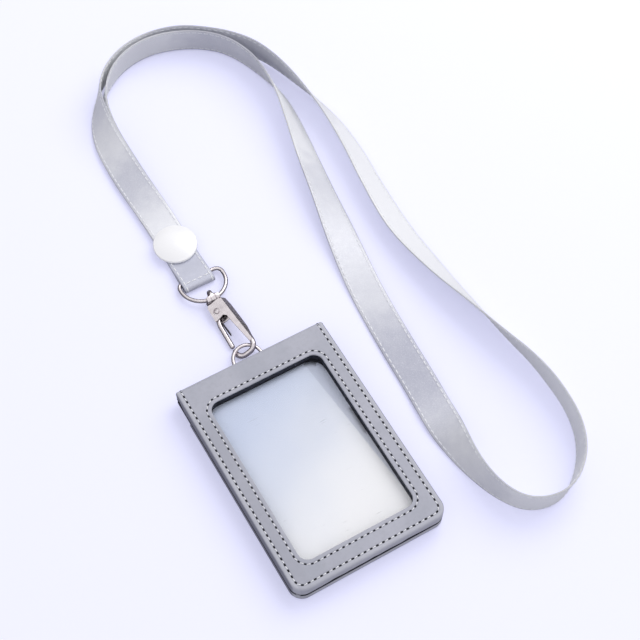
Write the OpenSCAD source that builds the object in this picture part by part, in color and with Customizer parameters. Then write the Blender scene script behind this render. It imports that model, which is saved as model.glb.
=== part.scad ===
// Badge wallet on a neck ribbon: a two-leaf leather wallet with a window, hung by a ring and a swivel
// snap hook from a D ring in a flat ribbon loop. It lies on its back: +X across, +Y to the fold, +Z up.

/* [Wallet] */
// Width of the wallet
wallet_w = 72; // [66:1:84]
// Height of the wallet, from its bottom edge to the fold
wallet_h = 104; // [98:1:120]
// Radius of the two bottom corners
corner_r = 6; // [4:0.5:9]
// Radius of the two corners at the fold
fold_corner_r = 1.2; // [0.6:0.1:2]
// Thickness of every outer leather sheet
leather_t = 0.8; // [0.6:0.1:1.2]
// Thickness of the two black linings
lining_t = 0.4; // [0.3:0.1:0.6]
// Gap between the closed leaves
leaf_gap = 0.3; // [0.2:0.1:1]
// Clearance round a piece that lies inside a leather rim
rim_fit = 0.1; // [0.05:0.05:0.3]

/* [Front leaf] */
// Leather on each side of the window
window_side = 9.2; // [8:0.1:12]
// Leather below the window
window_sill = 10.5; // [9:0.5:13]
// Leather between the window and the fold
window_head = 12.5; // [11:0.5:16]
// Corner radius of the window opening
window_r = 4.5; // [2:0.5:7]
// Thickness of the black board behind the front leather, above the pane
board_t = 3.35; // [2.4:0.05:4]
// Thickness of the clear pane
pane_t = 0.3; // [0.2:0.05:0.6]
// Thickness of the blank insert card
card_t = 0.35; // [0.2:0.05:0.8]
// Width that the pane has behind each edge of the window
pane_lap = 3; // [2:0.2:3.4]
// Distance of the card's edge inside the pane's edge
card_inset = 0.8; // [0.4:0.1:1]

/* [Rear leaf] */
// Thickness of the back pocket's panel
panel_t = 0.9; // [0.8:0.1:1.2]
// Room for a card inside the back pocket
slot_h = 0.9; // [0.8:0.05:1.2]
// Thickness of the rear board
rear_board_t = 1.2; // [1:0.1:1.6]
// Distance from the fold down to the back pocket's mouth
mouth_drop = 12; // [11:0.5:16]
// Radius of the thumb notch in the mouth
thumb_r = 8; // [6:0.5:10]
// Thickness of the two card panels inside
inner_panel_t = 0.5; // [0.3:0.1:0.8]
// Height of the lower card panel inside
low_panel_h = 38; // [30:1:44]
// Height of the upper card panel's visible strip
high_panel_h = 14; // [10:1:18]

/* [Stitching] */
// Distance from one stitch to the next
stitch_pitch = 2.88; // [2.4:0.02:3.4]
// Length of the thread that shows in one stitch
stitch_len = 2; // [1.6:0.1:2.2]
// Width of the thread
thread_w = 0.55; // [0.4:0.05:0.7]
// Height of the thread above the bottom of its groove
thread_h = 0.35; // [0.3:0.05:0.4]
// Depth of the groove that the thread is pulled into
groove_d = 0.25; // [0.2:0.05:0.3]
// Width of that groove
groove_w = 0.9; // [0.8:0.1:1.2]
// Distance of the outer seam from the wallet's edge
seam_inset = 2.4; // [2:0.1:3]
// Distance of the window seam from the window's edge
window_seam = 2; // [1.6:0.1:2.6]

/* [Wallet ring] */
// Outer diameter of the wallet's ring
ring_od = 14.8; // [14:0.2:15.2]
// Thickness of the ring's wire
ring_wire = 1.6; // [1.4:0.1:1.7]
// Distance of the ring's centre beyond the fold
ring_reach = 2.7; // [2.4:0.1:3]
// Place of the ring across the wallet
ring_x = 0.9; // [0.7:0.1:1.1]
// Height of the wire's centre where it runs through the strap
ring_seat = 1.3; // [1.2:0.05:1.4]
// Slope of the ring as it rises towards the hook, in degrees
ring_tilt = 8.5; // [7.5:0.5:9]
// Width of the leather strap that holds the ring
strap_w = 7; // [6:0.5:8]
// Thickness of the strap
strap_t = 0.4; // [0.3:0.05:0.5]
// Length of the strap's flange, from the ring towards the pocket
strap_flange = 4.4; // [4:0.2:5]
// Inside length of the strap's loop
strap_room = 3.4; // [3:0.1:3.6]
// Radius of the strap rivet's head
rivet_r = 1.5; // [1.2:0.1:1.8]
// Height of the strap rivet's head
rivet_h = 0.7; // [0.4:0.1:1]

/* [Snap hook] */
// Place of the hook's swivel axis across the wallet
hook_x = 1.4; // [1.3:0.1:1.5]
// Distance from the fold to the top of the hook's box
hook_y = 34.2; // [34:0.1:34.4]
// Height of the swivel axis at the top of the box
hook_z = 3.81; // [3.76:0.01:3.86]
// Roll of the hook about its long axis, in degrees
hook_roll = 28; // [27:0.5:29]
// Slope of the hook, rising towards the ribbon, in degrees
hook_pitch = 2; // [1.5:0.5:2.5]
// Length of the hook below the top of its box
hook_len = 30.2; // [29.8:0.1:30.4]
// Width across the hook's closed loop
hook_w = 11.3; // [11:0.1:11.6]
// Thickness of the hook's round bars
bar_d = 2.1; // [1.9:0.1:2.2]
// Distance from the swivel axis out to the outer side of the gate
gate_out = 4.95; // [4.8:0.05:5.1]
// Outer radius of the two lower corners of the hook
nose_r = 4.6; // [4:0.1:5]
// Length of the box
box_len = 10; // [9.5:0.1:10.5]
// Distance from the swivel axis out to the left side of the box
box_left = 4.3; // [4.2:0.1:4.5]
// Distance from the swivel axis out to the right side of the box
box_right = 2.6; // [2.4:0.1:3]
// Thickness of the box
box_t = 3.6; // [3.4:0.1:3.8]
// Chamfer along the box's edges
box_chamfer = 0.8; // [0.5:0.1:1]
// Drop of the arm's slanted shoulder below the top of the box
shoulder = 1.4; // [1:0.1:2]
// Thickness of the web between the box and the arm
web_t = 1.7; // [1.4:0.1:1.8]
// Lean of the arm towards the box, over its length
arm_lean = 1.1; // [0.6:0.1:1.4]
// Distance from the swivel axis to the gate's pivot
pivot_u = 2.4; // [2.2:0.1:2.5]
// Distance from the top of the box down to the gate's pivot
pivot_v = 6.3; // [6:0.1:6.6]
// Radius of the gate's pin
pin_r = 0.75; // [0.6:0.05:0.8]
// Radial running clearance of a pin or stem in its bore
run_fit = 0.05; // [0.02:0.01:0.1]
// Radius of the gate's round root
gate_root_r = 1.7; // [1.5:0.1:1.8]
// Side clearance of the gate in its slot
gate_side = 0.1; // [0.05:0.05:0.2]
// Gap between the gate's tip and the nose
tip_gap = 0.35; // [0.3:0.05:0.6]
// Height of the nose's tip above the bottom of the hook
nose_rise = 6.2; // [6.1:0.1:6.5]
// Thickness of the spring's wires
spring_wire = 0.45; // [0.4:0.05:0.6]
// Length of the spring's wires beside the gate
spring_len = 9; // [7:0.5:10]

/* [Swivel eye and D ring] */
// Outer radius of the swivel's eye
eye_r = 3.1; // [3:0.1:3.3]
// Radius of the hole in the eye
eye_bore_r = 1.8; // [1.75:0.05:1.9]
// Extra length of the eye's hole, away from the box
eye_long = 0.8; // [0.6:0.1:1]
// Thickness of the eye along its hole
eye_t = 2.6; // [2.2:0.1:3]
// Distance from the top of the box to the centre of the eye
eye_rise = 2.7; // [2.7:0.05:2.9]
// Radius of the swivel's stem
stem_r = 1.2; // [1:0.05:1.3]
// Length of the stem's bore in the box
stem_len = 1.8; // [1.6:0.1:2]
// Radius of the stem's head
head_r = 1.55; // [1.5:0.05:1.6]
// Thickness of the stem's head
head_t = 0.8; // [0.6:0.1:1]
// Clearance round the stem's head
head_fit = 0.15; // [0.1:0.05:0.2]
// Outer width of the D ring
d_w = 23; // [22.6:0.2:23.4]
// Distance from the middle of the D ring's straight bar to the middle of its round end
d_len = 14.7; // [14.6:0.1:14.8]
// Thickness of the D ring's wire
d_wire = 1.8; // [1.7:0.1:1.9]
// Radius of the bend beside the straight bar
d_bend = 3; // [2.6:0.1:3.4]
// Place of the D ring across the wallet
d_x = 0.9; // [0.7:0.1:1.1]
// Distance from the fold to the D ring's straight bar
d_y = 51.4; // [51.3:0.1:51.5]
// Slope of the D ring, rising towards the hook, in degrees
d_tilt = 6.2; // [6:0.1:6.4]
// Clearance of the straight bar inside the ribbon's fold
bar_fit = 0.15; // [0.1:0.05:0.2]

/* [Ribbon and snap] */
// Width of the ribbon
ribbon_w = 15; // [14:0.5:16]
// Thickness of the ribbon
ribbon_t = 0.8; // [0.6:0.1:0.9]
// Distance from the D ring's bar to the end of the ribbon's fold
fold_slack = 3.55; // [3.2:0.05:4]
// Place of the snap across the wallet
snap_x = 0.4; // [0.2:0.1:0.6]
// Distance from the fold to the centre of the snap
snap_y = 70.6; // [70:0.2:71]
// Radius of the snap's cap
cap_r = 10.1; // [9:0.1:10.5]
// Height of the cap at its middle
cap_h = 3.6; // [2.6:0.1:3.6]
// Height of the cap's rim
cap_rim = 1.3; // [1:0.1:1.6]
// Radius of the snap's base
base_r = 7; // [6:0.2:8]
// Thickness of the snap's base
base_t = 1; // [0.8:0.1:1.2]
// Outer radius of the base's socket
socket_r = 2.6; // [2.2:0.1:3]
// Radius of the cap's stud
stud_r = 1.8; // [1.4:0.1:2]
// Small gap that keeps the layers of the snap apart
layer_gap = 0.05; // [0.02:0.01:0.1]

/* [Hidden] */
$fn = 48;
// Overrun of every cut past the face it opens
over = 0.5;

// Levels of the wallet's layers, from the back up
board_z = panel_t + slot_h;
base_z = board_z + rear_board_t;
rear_lining_z = base_z + leather_t;
inner_z = rear_lining_z + lining_t;
front_z = inner_z + inner_panel_t + leaf_gap;
card_z = front_z + lining_t;
pane_z = card_z + card_t;
window_z = pane_z + pane_t;
sheet_z = window_z + board_t;
wallet_t = sheet_z + leather_t;
bottom_y = -wallet_h / 2;
fold_y = wallet_h / 2;
mouth_y = fold_y - mouth_drop;
window_w = wallet_w - 2 * window_side;
window_h = wallet_h - window_sill - window_head;
window_y = bottom_y + window_sill + window_h / 2;
leaf_top = fold_y - leather_t - leaf_gap;

// A rounded rectangle, with one radius at the bottom corners and another at the top ones
module plate(w, low, high, r, top_r) {
    translate([-w / 2 + r, low]) square([w - 2 * r, high - low]);
    translate([-w / 2, low + r]) square([w, high - top_r - low - r]);
    translate([-w / 2 + top_r, low + r]) square([w - 2 * top_r, high - low - r]);
    for (side = [-1, 1]) {
        translate([side * (w / 2 - r), low + r]) circle(r);
        translate([side * (w / 2 - top_r), high - top_r]) circle(top_r);
    }
}

// The outline of a leaf, drawn in from the wallet's edge and cut at a height
module leaf(inset, high) {
    r = corner_r - inset;
    intersection() {
        plate(wallet_w - 2 * inset, bottom_y + inset, fold_y, r, fold_corner_r);
        translate([-wallet_w / 2, bottom_y]) square([wallet_w, high - bottom_y]);
    }
}

// The window's outline, moved out by a margin
module window(margin) {
    r = window_r + margin;
    plate(window_w + 2 * margin, window_y - window_h / 2 - margin, window_y + window_h / 2 + margin, r, r);
}

// A slab between two levels over a flat outline
module slab(low, high) {
    translate([0, 0, low]) linear_extrude(high - low) children();
}

// Where a seam stands after a distance s along a rounded rectangle of width w, height h and radius r.
// It starts at the top of the left side and runs down, across and up: [x, y, heading].
function seam_at(s, w, h, r) =
    let (a = h - 2 * r, b = w - 2 * r, q = PI * r / 2, x = w / 2, y = h / 2,
        turn = function (t) t * 180 / (PI * r))
    s < a ? [-x, y - r - s, -90] :
    s < a + q ? let (t = turn(s - a)) [-x + r - r * cos(t), r - y - r * sin(t), t - 90] :
    s < a + q + b ? [r - x + s - a - q, -y, 0] :
    s < a + 2 * q + b ? let (t = turn(s - a - q - b)) [x - r + r * sin(t), r - y - r * cos(t), t] :
    s < 2 * a + 2 * q + b ? [x, r - y + s - a - 2 * q - b, 90] :
    s < 2 * a + 3 * q + b ? let (t = turn(s - 2 * a - 2 * q - b))
        [x - r + r * cos(t), y - r + r * sin(t), t + 90] :
    s < 2 * a + 3 * q + 2 * b ? [x - r - (s - 2 * a - 3 * q - b), y, 180] :
    let (t = turn(s - 2 * a - 3 * q - 2 * b)) [r - x - r * sin(t), y - r + r * cos(t), t + 180];

// Stitches on the first part of such a seam, each a short bar standing on a level
module stitches(w, h, r, run, mid_y, level) {
    count = round(run / stitch_pitch);
    for (i = [0 : count - 1]) {
        at = seam_at((i + 1 / 2) * run / count, w, h, r);
        translate([at[0], at[1] + mid_y, level]) rotate(at[2])
            translate([-stitch_len / 2, -thread_w / 2, 0]) cube([stitch_len, thread_w, thread_h]);
    }
}

// The outer seam: its frame reaches past its top by the corner radius, so that its sides run straight
seam_r = corner_r - seam_inset;
seam_w = wallet_w - 2 * seam_inset;
front_seam_top = fold_y - leather_t;
back_seam_top = mouth_y - seam_inset;
window_seam_w = window_w + 2 * window_seam;
window_seam_h = window_h + 2 * window_seam;
window_seam_r = window_r + window_seam;

// Height of the outer seam's frame for a given top, and the length of thread along its open run
function seam_h(top) = top + seam_r - (bottom_y + seam_inset);
function seam_run(top) = 2 * (seam_h(top) - 2 * seam_r) + PI * seam_r + seam_w - 2 * seam_r;

// The groove under an open outer seam
module outer_groove(top) {
    module edge(side) {
        plate(seam_w + side * groove_w, bottom_y + seam_inset - side * groove_w / 2, top + corner_r,
            seam_r + side * groove_w / 2, thread_w);
    }
    intersection() {
        difference() {
            edge(1);
            edge(-1);
        }
        translate([-wallet_w / 2, bottom_y]) square([wallet_w, top - bottom_y]);
    }
}

module front_leather() {
    color([0.71, 0.71, 0.75]) difference() {
        slab(card_z, wallet_t) leaf(0, fold_y);
        slab(card_z - over, sheet_z) {
            leaf(leather_t, fold_y);
            translate([-wallet_w / 2, leaf_top]) square([wallet_w, fold_y - leaf_top + over]);
        }
        slab(sheet_z - over, wallet_t + over) window(0);
        slab(wallet_t - groove_d, wallet_t + over) {
            outer_groove(front_seam_top);
            difference() {
                window(window_seam + groove_w / 2);
                window(window_seam - groove_w / 2);
            }
        }
    }
}

module front_board() {
    color([0.11, 0.12, 0.17]) difference() {
        slab(card_z, sheet_z) leaf(leather_t + rim_fit, leaf_top);
        slab(card_z - over, sheet_z + over) window(0);
        slab(card_z - over, window_z) window(pane_lap + rim_fit);
    }
}

module window_pane() {
    color([0.85, 0.9, 0.95, 0.35]) slab(pane_z, window_z) window(pane_lap);
}

module insert_card() {
    color([0.93, 0.95, 0.99]) slab(card_z, pane_z) window(pane_lap - card_inset);
}

module front_lining() {
    color([0.08, 0.09, 0.13]) slab(front_z, card_z) leaf(0, leaf_top);
}

module front_stitches() {
    h = seam_h(front_seam_top);
    color([0.85, 0.86, 0.9]) stitches(seam_w, h, seam_r, seam_run(front_seam_top),
        bottom_y + seam_inset + h / 2, wallet_t - groove_d);
}

module window_stitches() {
    run = 2 * (window_seam_w + window_seam_h) + (2 * PI - 8) * window_seam_r;
    color([0.85, 0.86, 0.9]) stitches(window_seam_w, window_seam_h, window_seam_r, run,
        window_y, wallet_t - groove_d);
}

// The strip of leather that joins the two leaves across the fold
module spine_leather() {
    color([0.69, 0.69, 0.73]) slab(base_z, sheet_z - leaf_gap) intersection() {
        leaf(0, fold_y);
        translate([-wallet_w / 2, fold_y - leather_t]) square([wallet_w, leather_t]);
    }
}

module rear_leather() {
    color([0.69, 0.69, 0.73]) slab(base_z, rear_lining_z) leaf(0, fold_y - leather_t);
}

module rear_lining() {
    color([0.08, 0.09, 0.13]) slab(rear_lining_z, inner_z) leaf(0, fold_y - leather_t);
}

module rear_board() {
    color([0.11, 0.12, 0.17]) slab(board_z, base_z) leaf(leather_t + rim_fit, mouth_y);
}

// The back pocket: a panel with a turned-up rim on three sides and a thumb notch in its mouth
module back_pocket() {
    color([0.7, 0.7, 0.74]) difference() {
        slab(0, base_z) leaf(0, mouth_y);
        slab(panel_t, base_z + over) {
            leaf(leather_t, mouth_y);
            translate([leather_t - wallet_w / 2, 0]) square([wallet_w - 2 * leather_t, mouth_y + over]);
        }
        translate([0, mouth_y, -over]) cylinder(r = thumb_r, h = panel_t + 2 * over);
        slab(-over, thread_h) outer_groove(back_seam_top);
    }
}

module back_stitches() {
    h = seam_h(back_seam_top);
    color([0.85, 0.86, 0.9]) stitches(seam_w, h, seam_r, seam_run(back_seam_top),
        bottom_y + seam_inset + h / 2, 0);
}

// The two card panels on the inside of the rear leaf
module low_card_panel() {
    color([0.66, 0.66, 0.7]) slab(inner_z, inner_z + inner_panel_t)
        leaf(seam_inset / 2, bottom_y + low_panel_h);
}

module high_card_panel() {
    low = bottom_y + low_panel_h + leaf_gap;
    color([0.66, 0.66, 0.7]) slab(inner_z, inner_z + inner_panel_t)
        translate([seam_inset / 2 - wallet_w / 2, low]) square([wallet_w - seam_inset, high_panel_h]);
}

// The ring runs through the strap at its lowest point
ring_mid = (ring_od - ring_wire) / 2;
ring_y = fold_y + ring_reach;
ring_z = ring_seat + ring_mid * tan(ring_tilt);
strap_y = ring_y - ring_mid;

// A leather loop below the rear leaf, with a flange that the rivet holds
module ring_strap() {
    near = strap_y - ring_wire / 2 - (strap_room - ring_wire) / 3;
    far = near + strap_room;
    color([0.66, 0.66, 0.7]) translate([ring_x - strap_w / 2, 0, 0]) difference() {
        union() {
            translate([0, near - strap_t, 0]) cube([strap_w, strap_room + 2 * strap_t, base_z]);
            translate([0, near - strap_t - strap_flange, base_z - strap_t])
                cube([strap_w, strap_flange + strap_t, strap_t]);
        }
        translate([-over, near, strap_t]) cube([strap_w + 2 * over, far - near, base_z - 2 * strap_t]);
    }
}

module strap_rivet() {
    y = strap_y - ring_wire / 2 - strap_t - strap_flange / 2 - (strap_room - ring_wire) / 3;
    color([0.78, 0.77, 0.76]) translate([ring_x, y, base_z - strap_t - rivet_h])
        cylinder(r = rivet_r, h = rivet_h);
}

module wallet_ring() {
    color([0.8, 0.79, 0.78]) translate([ring_x, ring_y, ring_z]) rotate([ring_tilt, 0, 0])
        rotate_extrude() translate([ring_mid / cos(ring_tilt), 0]) circle(ring_wire / 2);
}

// The hook's own frame: u across to the arm, v along to the ribbon, w out of the hook's face
module hook_place() {
    translate([hook_x, fold_y + hook_y, hook_z]) rotate([hook_pitch, 0, 0]) children();
}

module hook_rolled() {
    hook_place() rotate([0, -hook_roll, 0]) children();
}

arm_u = hook_w - gate_out - bar_d / 2;
arm_top_u = arm_u - arm_lean;
gate_u = gate_out - bar_d / 2;
turn_v = nose_r - hook_len;
turn_r = nose_r - bar_d / 2;
nose_tip = nose_rise - hook_len;
slot_t = bar_d + 2 * gate_side;

// A round bar between two points of the hook's plane
module bar(a, b) {
    way = b - a;
    translate([a[0], a[1], 0]) rotate([0, 0, atan2(way[1], way[0])]) rotate([0, 90, 0])
        cylinder(r = bar_d / 2, h = norm(way));
}

// The box's cross section, with its four edges cut off
module box_section() {
    c = box_chamfer;
    x0 = -box_left;
    x1 = box_right;
    y = box_t / 2;
    polygon([[x0 + c, -y], [x1 - c, -y], [x1, c - y], [x1, y - c], [x1 - c, y], [x0 + c, y],
        [x0, y - c], [x0, c - y]]);
}

// The frame: the box, the arm with the web that joins them, and the nose in one round bar
module hook_frame() {
    head_room = head_t + 2 * head_fit;
    color([0.8, 0.79, 0.78]) hook_rolled() difference() {
        union() {
            bar([-gate_u, turn_v], [-gate_u, nose_tip]);
            translate([turn_r - gate_u, turn_v, 0]) rotate([0, 0, 180]) rotate_extrude(angle = 90)
                translate([turn_r, 0]) circle(bar_d / 2);
            bar([turn_r - gate_u, turn_v - turn_r], [arm_u - turn_r, turn_v - turn_r]);
            translate([arm_u - turn_r, turn_v, 0]) rotate([0, 0, -90]) rotate_extrude(angle = 90)
                translate([turn_r, 0]) circle(bar_d / 2);
            bar([arm_u, turn_v - turn_r / 4], [arm_top_u, -shoulder]);
            translate([0, 0, -web_t / 2]) linear_extrude(web_t)
                polygon([[0, -shoulder], [box_right, -shoulder], [arm_top_u, -2 * shoulder], [arm_u, turn_v],
                    [box_right, -box_len], [0, -box_len]]);
            rotate([90, 0, 0]) linear_extrude(box_len) box_section();
        }
        rotate([90, 0, 0]) translate([0, 0, -over]) cylinder(r = stem_r + run_fit, h = stem_len + 2 * over);
        translate([0, -stem_len, 0]) rotate([90, 0, 0]) cylinder(r = head_r + head_fit, h = head_room);
        translate([-box_left - over, -box_len - over, -slot_t / 2])
            cube([box_left + over - gate_side, box_len + over - stem_len - head_room - head_fit, slot_t]);
        translate([-pivot_u, -pivot_v, -box_t]) cylinder(r = pin_r, h = 2 * box_t);
    }
}

// The gate: a bar beside the hook's opening, with a round root on the pin inside the box
module hook_gate() {
    tip = nose_tip + tip_gap;
    inner = bar_d - gate_out;
    color([0.78, 0.77, 0.76]) hook_rolled() translate([0, 0, -bar_d / 2]) difference() {
        union() {
            linear_extrude(bar_d) polygon([[-gate_out, tip], [inner, tip], [inner, -box_len],
                [pin_r - pivot_u, -pivot_v], [-pivot_u - gate_root_r, -pivot_v], [-gate_out, -box_len]]);
            translate([-pivot_u, -pivot_v, 0]) cylinder(r = gate_root_r, h = bar_d);
        }
        translate([-pivot_u, -pivot_v, -over]) cylinder(r = pin_r + run_fit, h = bar_d + 2 * over);
    }
}

module gate_pin() {
    color([0.72, 0.71, 0.7]) hook_rolled() translate([-pivot_u, -pivot_v, -box_t / 2])
        cylinder(r = pin_r, h = box_t);
}

// Two wires along the inner side of the gate, joined by a foot against it
module gate_spring() {
    side = bar_d - gate_out;
    color([0.45, 0.44, 0.44]) hook_rolled() {
        for (w = [-1, 1])
            translate([side + spring_wire / 2, -box_len - spring_len, w * spring_wire])
                rotate([-90, 0, 0]) cylinder(r = spring_wire / 2, h = spring_len);
        translate([side, -box_len - spring_len - spring_wire, -spring_wire * 3 / 2])
            cube([spring_wire, spring_wire, 3 * spring_wire]);
    }
}

// A cylinder across the eye, drawn out along the hook
module eye_slot(r, t) {
    for (y = [eye_rise, eye_rise + eye_long])
        translate([-t / 2, y, 0]) rotate([0, 90, 0]) cylinder(r = r, h = t);
    translate([-t / 2, eye_rise, -r]) cube([t, eye_long, 2 * r]);
}

// The swivel's eye with its stem and the head that keeps it in the box
module swivel_eye() {
    color([0.8, 0.79, 0.78]) hook_place() {
        difference() {
            union() {
                difference() {
                    eye_slot(eye_r, eye_t);
                    translate([-eye_r, head_fit - 2 * eye_r, -eye_r]) cube(2 * eye_r);
                }
                translate([0, eye_rise, 0]) rotate([90, 0, 0])
                    cylinder(r = stem_r, h = eye_rise + stem_len + head_fit);
            }
            eye_slot(eye_bore_r, 2 * eye_t);
        }
        translate([0, -stem_len - head_fit, 0]) rotate([90, 0, 0]) cylinder(r = head_r, h = head_t);
    }
}

// The D ring lies in its own plane: y from its straight bar, which is the axis it swings on
bar_y = fold_y + d_y;
fold_room = d_wire + 2 * bar_fit;
bar_z = ribbon_t + fold_room / 2;

module d_ring() {
    r = (d_w - d_wire) / 2;
    side = d_len - r - d_bend;
    half = r - d_bend;
    color([0.8, 0.79, 0.78]) translate([d_x, bar_y, bar_z]) rotate([-d_tilt, 0, 0]) {
        translate([-half, 0, 0]) rotate([0, 90, 0]) cylinder(r = d_wire / 2, h = 2 * half);
        for (s = [0, 1]) mirror([s, 0, 0]) {
            translate([half, -d_bend, 0]) rotate_extrude(angle = 90)
                translate([d_bend, 0]) circle(d_wire / 2);
            translate([r, -d_bend, 0]) rotate([90, 0, 0]) cylinder(r = d_wire / 2, h = side);
        }
        translate([0, -d_bend - side, 0]) rotate([0, 0, 180]) rotate_extrude(angle = 180)
            translate([r, 0]) circle(d_wire / 2);
    }
}

// Levels of the two ribbon layers in the snap
low_z = base_t + layer_gap;
high_z = low_z + ribbon_t + layer_gap;
cap_z = high_z + ribbon_t + layer_gap;
snap_mid = fold_y + snap_y;
tail_end = snap_mid + cap_r / 2;

// The fold of ribbon round the D ring's bar, drawn as its side view and run across its width
module ribbon_tail() {
    out = ribbon_t + fold_room / 2;
    mid = bar_y - fold_slack;
    flat = bar_y + d_wire;
    lift = snap_mid - cap_r;
    top = 2 * ribbon_t + fold_room;
    color([0.8, 0.81, 0.84]) difference() {
        translate([snap_x - ribbon_w / 2, 0, 0]) rotate([90, 0, 90]) linear_extrude(ribbon_w) {
            difference() {
                union() {
                    translate([mid, out]) circle(out);
                    polygon([[mid, 0], [flat, 0], [lift, low_z], [tail_end, low_z],
                        [tail_end, high_z + ribbon_t], [lift, high_z + ribbon_t], [flat, top], [mid, top]]);
                }
                translate([mid, out]) circle(fold_room / 2);
                polygon([[mid, ribbon_t], [flat, ribbon_t], [lift, low_z + ribbon_t],
                    [tail_end + over, low_z + ribbon_t], [tail_end + over, high_z], [lift, high_z],
                    [flat, ribbon_t + fold_room], [mid, ribbon_t + fold_room]]);
            }
        }
        translate([snap_x, snap_mid, -over])
            cylinder(r = socket_r + 2 * layer_gap, h = cap_z + 2 * over);
    }
}

module snap_base() {
    color([0.9, 0.9, 0.91]) translate([snap_x, snap_mid, 0]) difference() {
        union() {
            cylinder(r = base_r, h = base_t);
            cylinder(r = socket_r, h = cap_z);
        }
        translate([0, 0, base_t / 2]) cylinder(r = stud_r + run_fit, h = cap_z + over);
    }
}

// The domed cap with its stud: the dome is a slice of a ball, down to the top of the rim
module snap_cap() {
    rise = cap_h - cap_rim;
    ball = (cap_r * cap_r + rise * rise) / (2 * rise);
    color([0.96, 0.96, 0.97]) translate([snap_x, snap_mid, cap_z + layer_gap]) {
        rotate_extrude() intersection() {
            square([cap_r, cap_h]);
            translate([0, cap_h - ball]) circle(r = ball, $fn = 192);
        }
        translate([0, 0, base_t - cap_z]) cylinder(r = stud_r, h = cap_z - base_t);
    }
}

// The neck ribbon's route, chosen by hand from the snap up the left side, round the top, down the
// right side, round the lower bend and back: [x, y, height, turn of its width about the route].
// The turn is 90 where the ribbon stands on its edge and 180 where it lies flat.
route = [
    [0.4, 127.8, 2.3, 180], [0.4, 133, 2.34, 180], [0.2, 139.5, 2.75, 176], [-0.3, 149, 3.1, 170],
    [-1.1, 162, 3.9, 162], [-1.5, 176, 5, 152], [-1.2, 189.5, 6.2, 140], [1.2, 202, 7.3, 123],
    [6, 213.2, 7.9, 104], [14.5, 222.8, 8, 97], [27, 229.6, 8, 95], [41, 231.7, 8, 95],
    [56.3, 228.8, 8, 95], [69, 221, 8, 95], [80, 210.6, 8, 95], [88, 198, 8, 97], [93.8, 178.5, 7.7, 105],
    [98, 153, 6.6, 125], [98, 130, 5.8, 135], [95.5, 106, 5.1, 142], [94, 80, 4.7, 147],
    [96.3, 53, 5.6, 137], [100.3, 28, 6.9, 121], [103.9, 6.5, 7.7, 108], [106.7, -7, 7.9, 101],
    [108, -20, 8, 95], [107.7, -33, 8, 93], [104.9, -46, 8, 88], [98.4, -57.5, 7.9, 82],
    [88, -66, 7.9, 82], [77, -68, 7.9, 86], [66.5, -63.5, 7.9, 88], [60, -53, 7.9, 94],
    [57, -39, 7.5, 109], [57, -24, 5.9, 134], [58.5, -9, 2.9, 167], [60, 10, 2.6, 165],
    [61.2, 30, 2.4, 166], [64, 59, 1.7, 173], [68, 84, 2.1, 188], [72.7, 111, 4.3, 210],
    [77, 135, 5.4, 221], [81, 155, 6.5, 232], [83.5, 172, 7.2, 243], [82.6, 187, 7.8, 258],
    [79.6, 200.2, 8, 265], [73.8, 212, 8, 265], [65, 220.3, 8, 265], [53.8, 226, 8, 265],
    [41.5, 228.7, 8, 265], [28.5, 227, 8, 265], [17, 220.6, 8, 263], [8.2, 211.2, 7.6, 256],
    [2.4, 201.3, 6.7, 237], [-0.4, 189.5, 5.3, 220], [-0.9, 176, 4.05, 208], [-0.7, 162, 2.9, 198],
    [0, 149, 2.05, 190], [0.3, 139.5, 1.65, 184], [0.4, 133, 1.5, 180], [0.4, 127.8, 1.5, 180]];

// Points between the chosen ones, on a smooth curve through them
ribbon_steps = 120;
function smooth(p, t) = let (n = len(p), k = min(floor(t), n - 2), f = t - k,
    a = p[max(k - 1, 0)], b = p[k], c = p[k + 1], d = p[min(k + 2, n - 1)])
    (2 * b + f * (c - a) + f * f * (2 * a - 5 * b + 4 * c - d) + f * f * f * (3 * b - a - 3 * c + d)) / 2;
function ribbon_ring(i) = let (last = len(route) - 1, t = i * last / ribbon_steps,
        p = smooth(route, t), ahead = smooth(route, min(t + 1 / 8, last)),
        back = smooth(route, max(t - 1 / 8, 0)), way = ahead - back,
        flat = norm([way[0], way[1]]), side = [-way[1] / flat, way[0] / flat],
        wide = [cos(p[3]) * side[0], cos(p[3]) * side[1], sin(p[3])],
        deep = [-sin(p[3]) * side[0], -sin(p[3]) * side[1], cos(p[3])])
    [for (s = [[-1, -1], [-1 / 3, -1], [1 / 3, -1], [1, -1], [1, 1], [1 / 3, 1], [-1 / 3, 1], [-1, 1]])
        [p[0], p[1], p[2]] + s[0] * wide * ribbon_w / 2 + s[1] * deep * ribbon_t / 2];

module neck_ribbon() {
    sides = 8;
    points = [for (i = [0 : ribbon_steps]) each ribbon_ring(i)];
    near = [for (j = [0 : 2]) [j, j + 1, sides - 2 - j, sides - 1 - j]];
    far = [for (face = near) [for (k = [3 : -1 : 0]) face[k] + ribbon_steps * sides]];
    walls = [for (i = [0 : ribbon_steps - 1], j = [0 : sides - 1])
        let (a = i * sides + j, b = i * sides + (j + 1) % sides, c = b + sides, d = a + sides)
        each [[a, c, b], [a, d, c]]];
    color([0.8, 0.81, 0.84]) polyhedron(points, concat(near, walls, far));
}

front_leather();
front_board();
window_pane();
insert_card();
front_lining();
front_stitches();
window_stitches();
spine_leather();
rear_leather();
rear_lining();
rear_board();
back_pocket();
back_stitches();
low_card_panel();
high_card_panel();
ring_strap();
strap_rivet();
wallet_ring();
hook_frame();
hook_gate();
gate_pin();
gate_spring();
swivel_eye();
d_ring();
ribbon_tail();
neck_ribbon();
snap_base();
snap_cap();
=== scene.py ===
"""Badge wallet on a neck ribbon: looks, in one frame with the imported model.

Lengths are millimetres, and a piece's mesh is written in metres. A surface is its points, and
groups of faces that have equally many corners.
"""

import bpy
import numpy as np
from mathutils import Matrix, Vector


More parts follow.
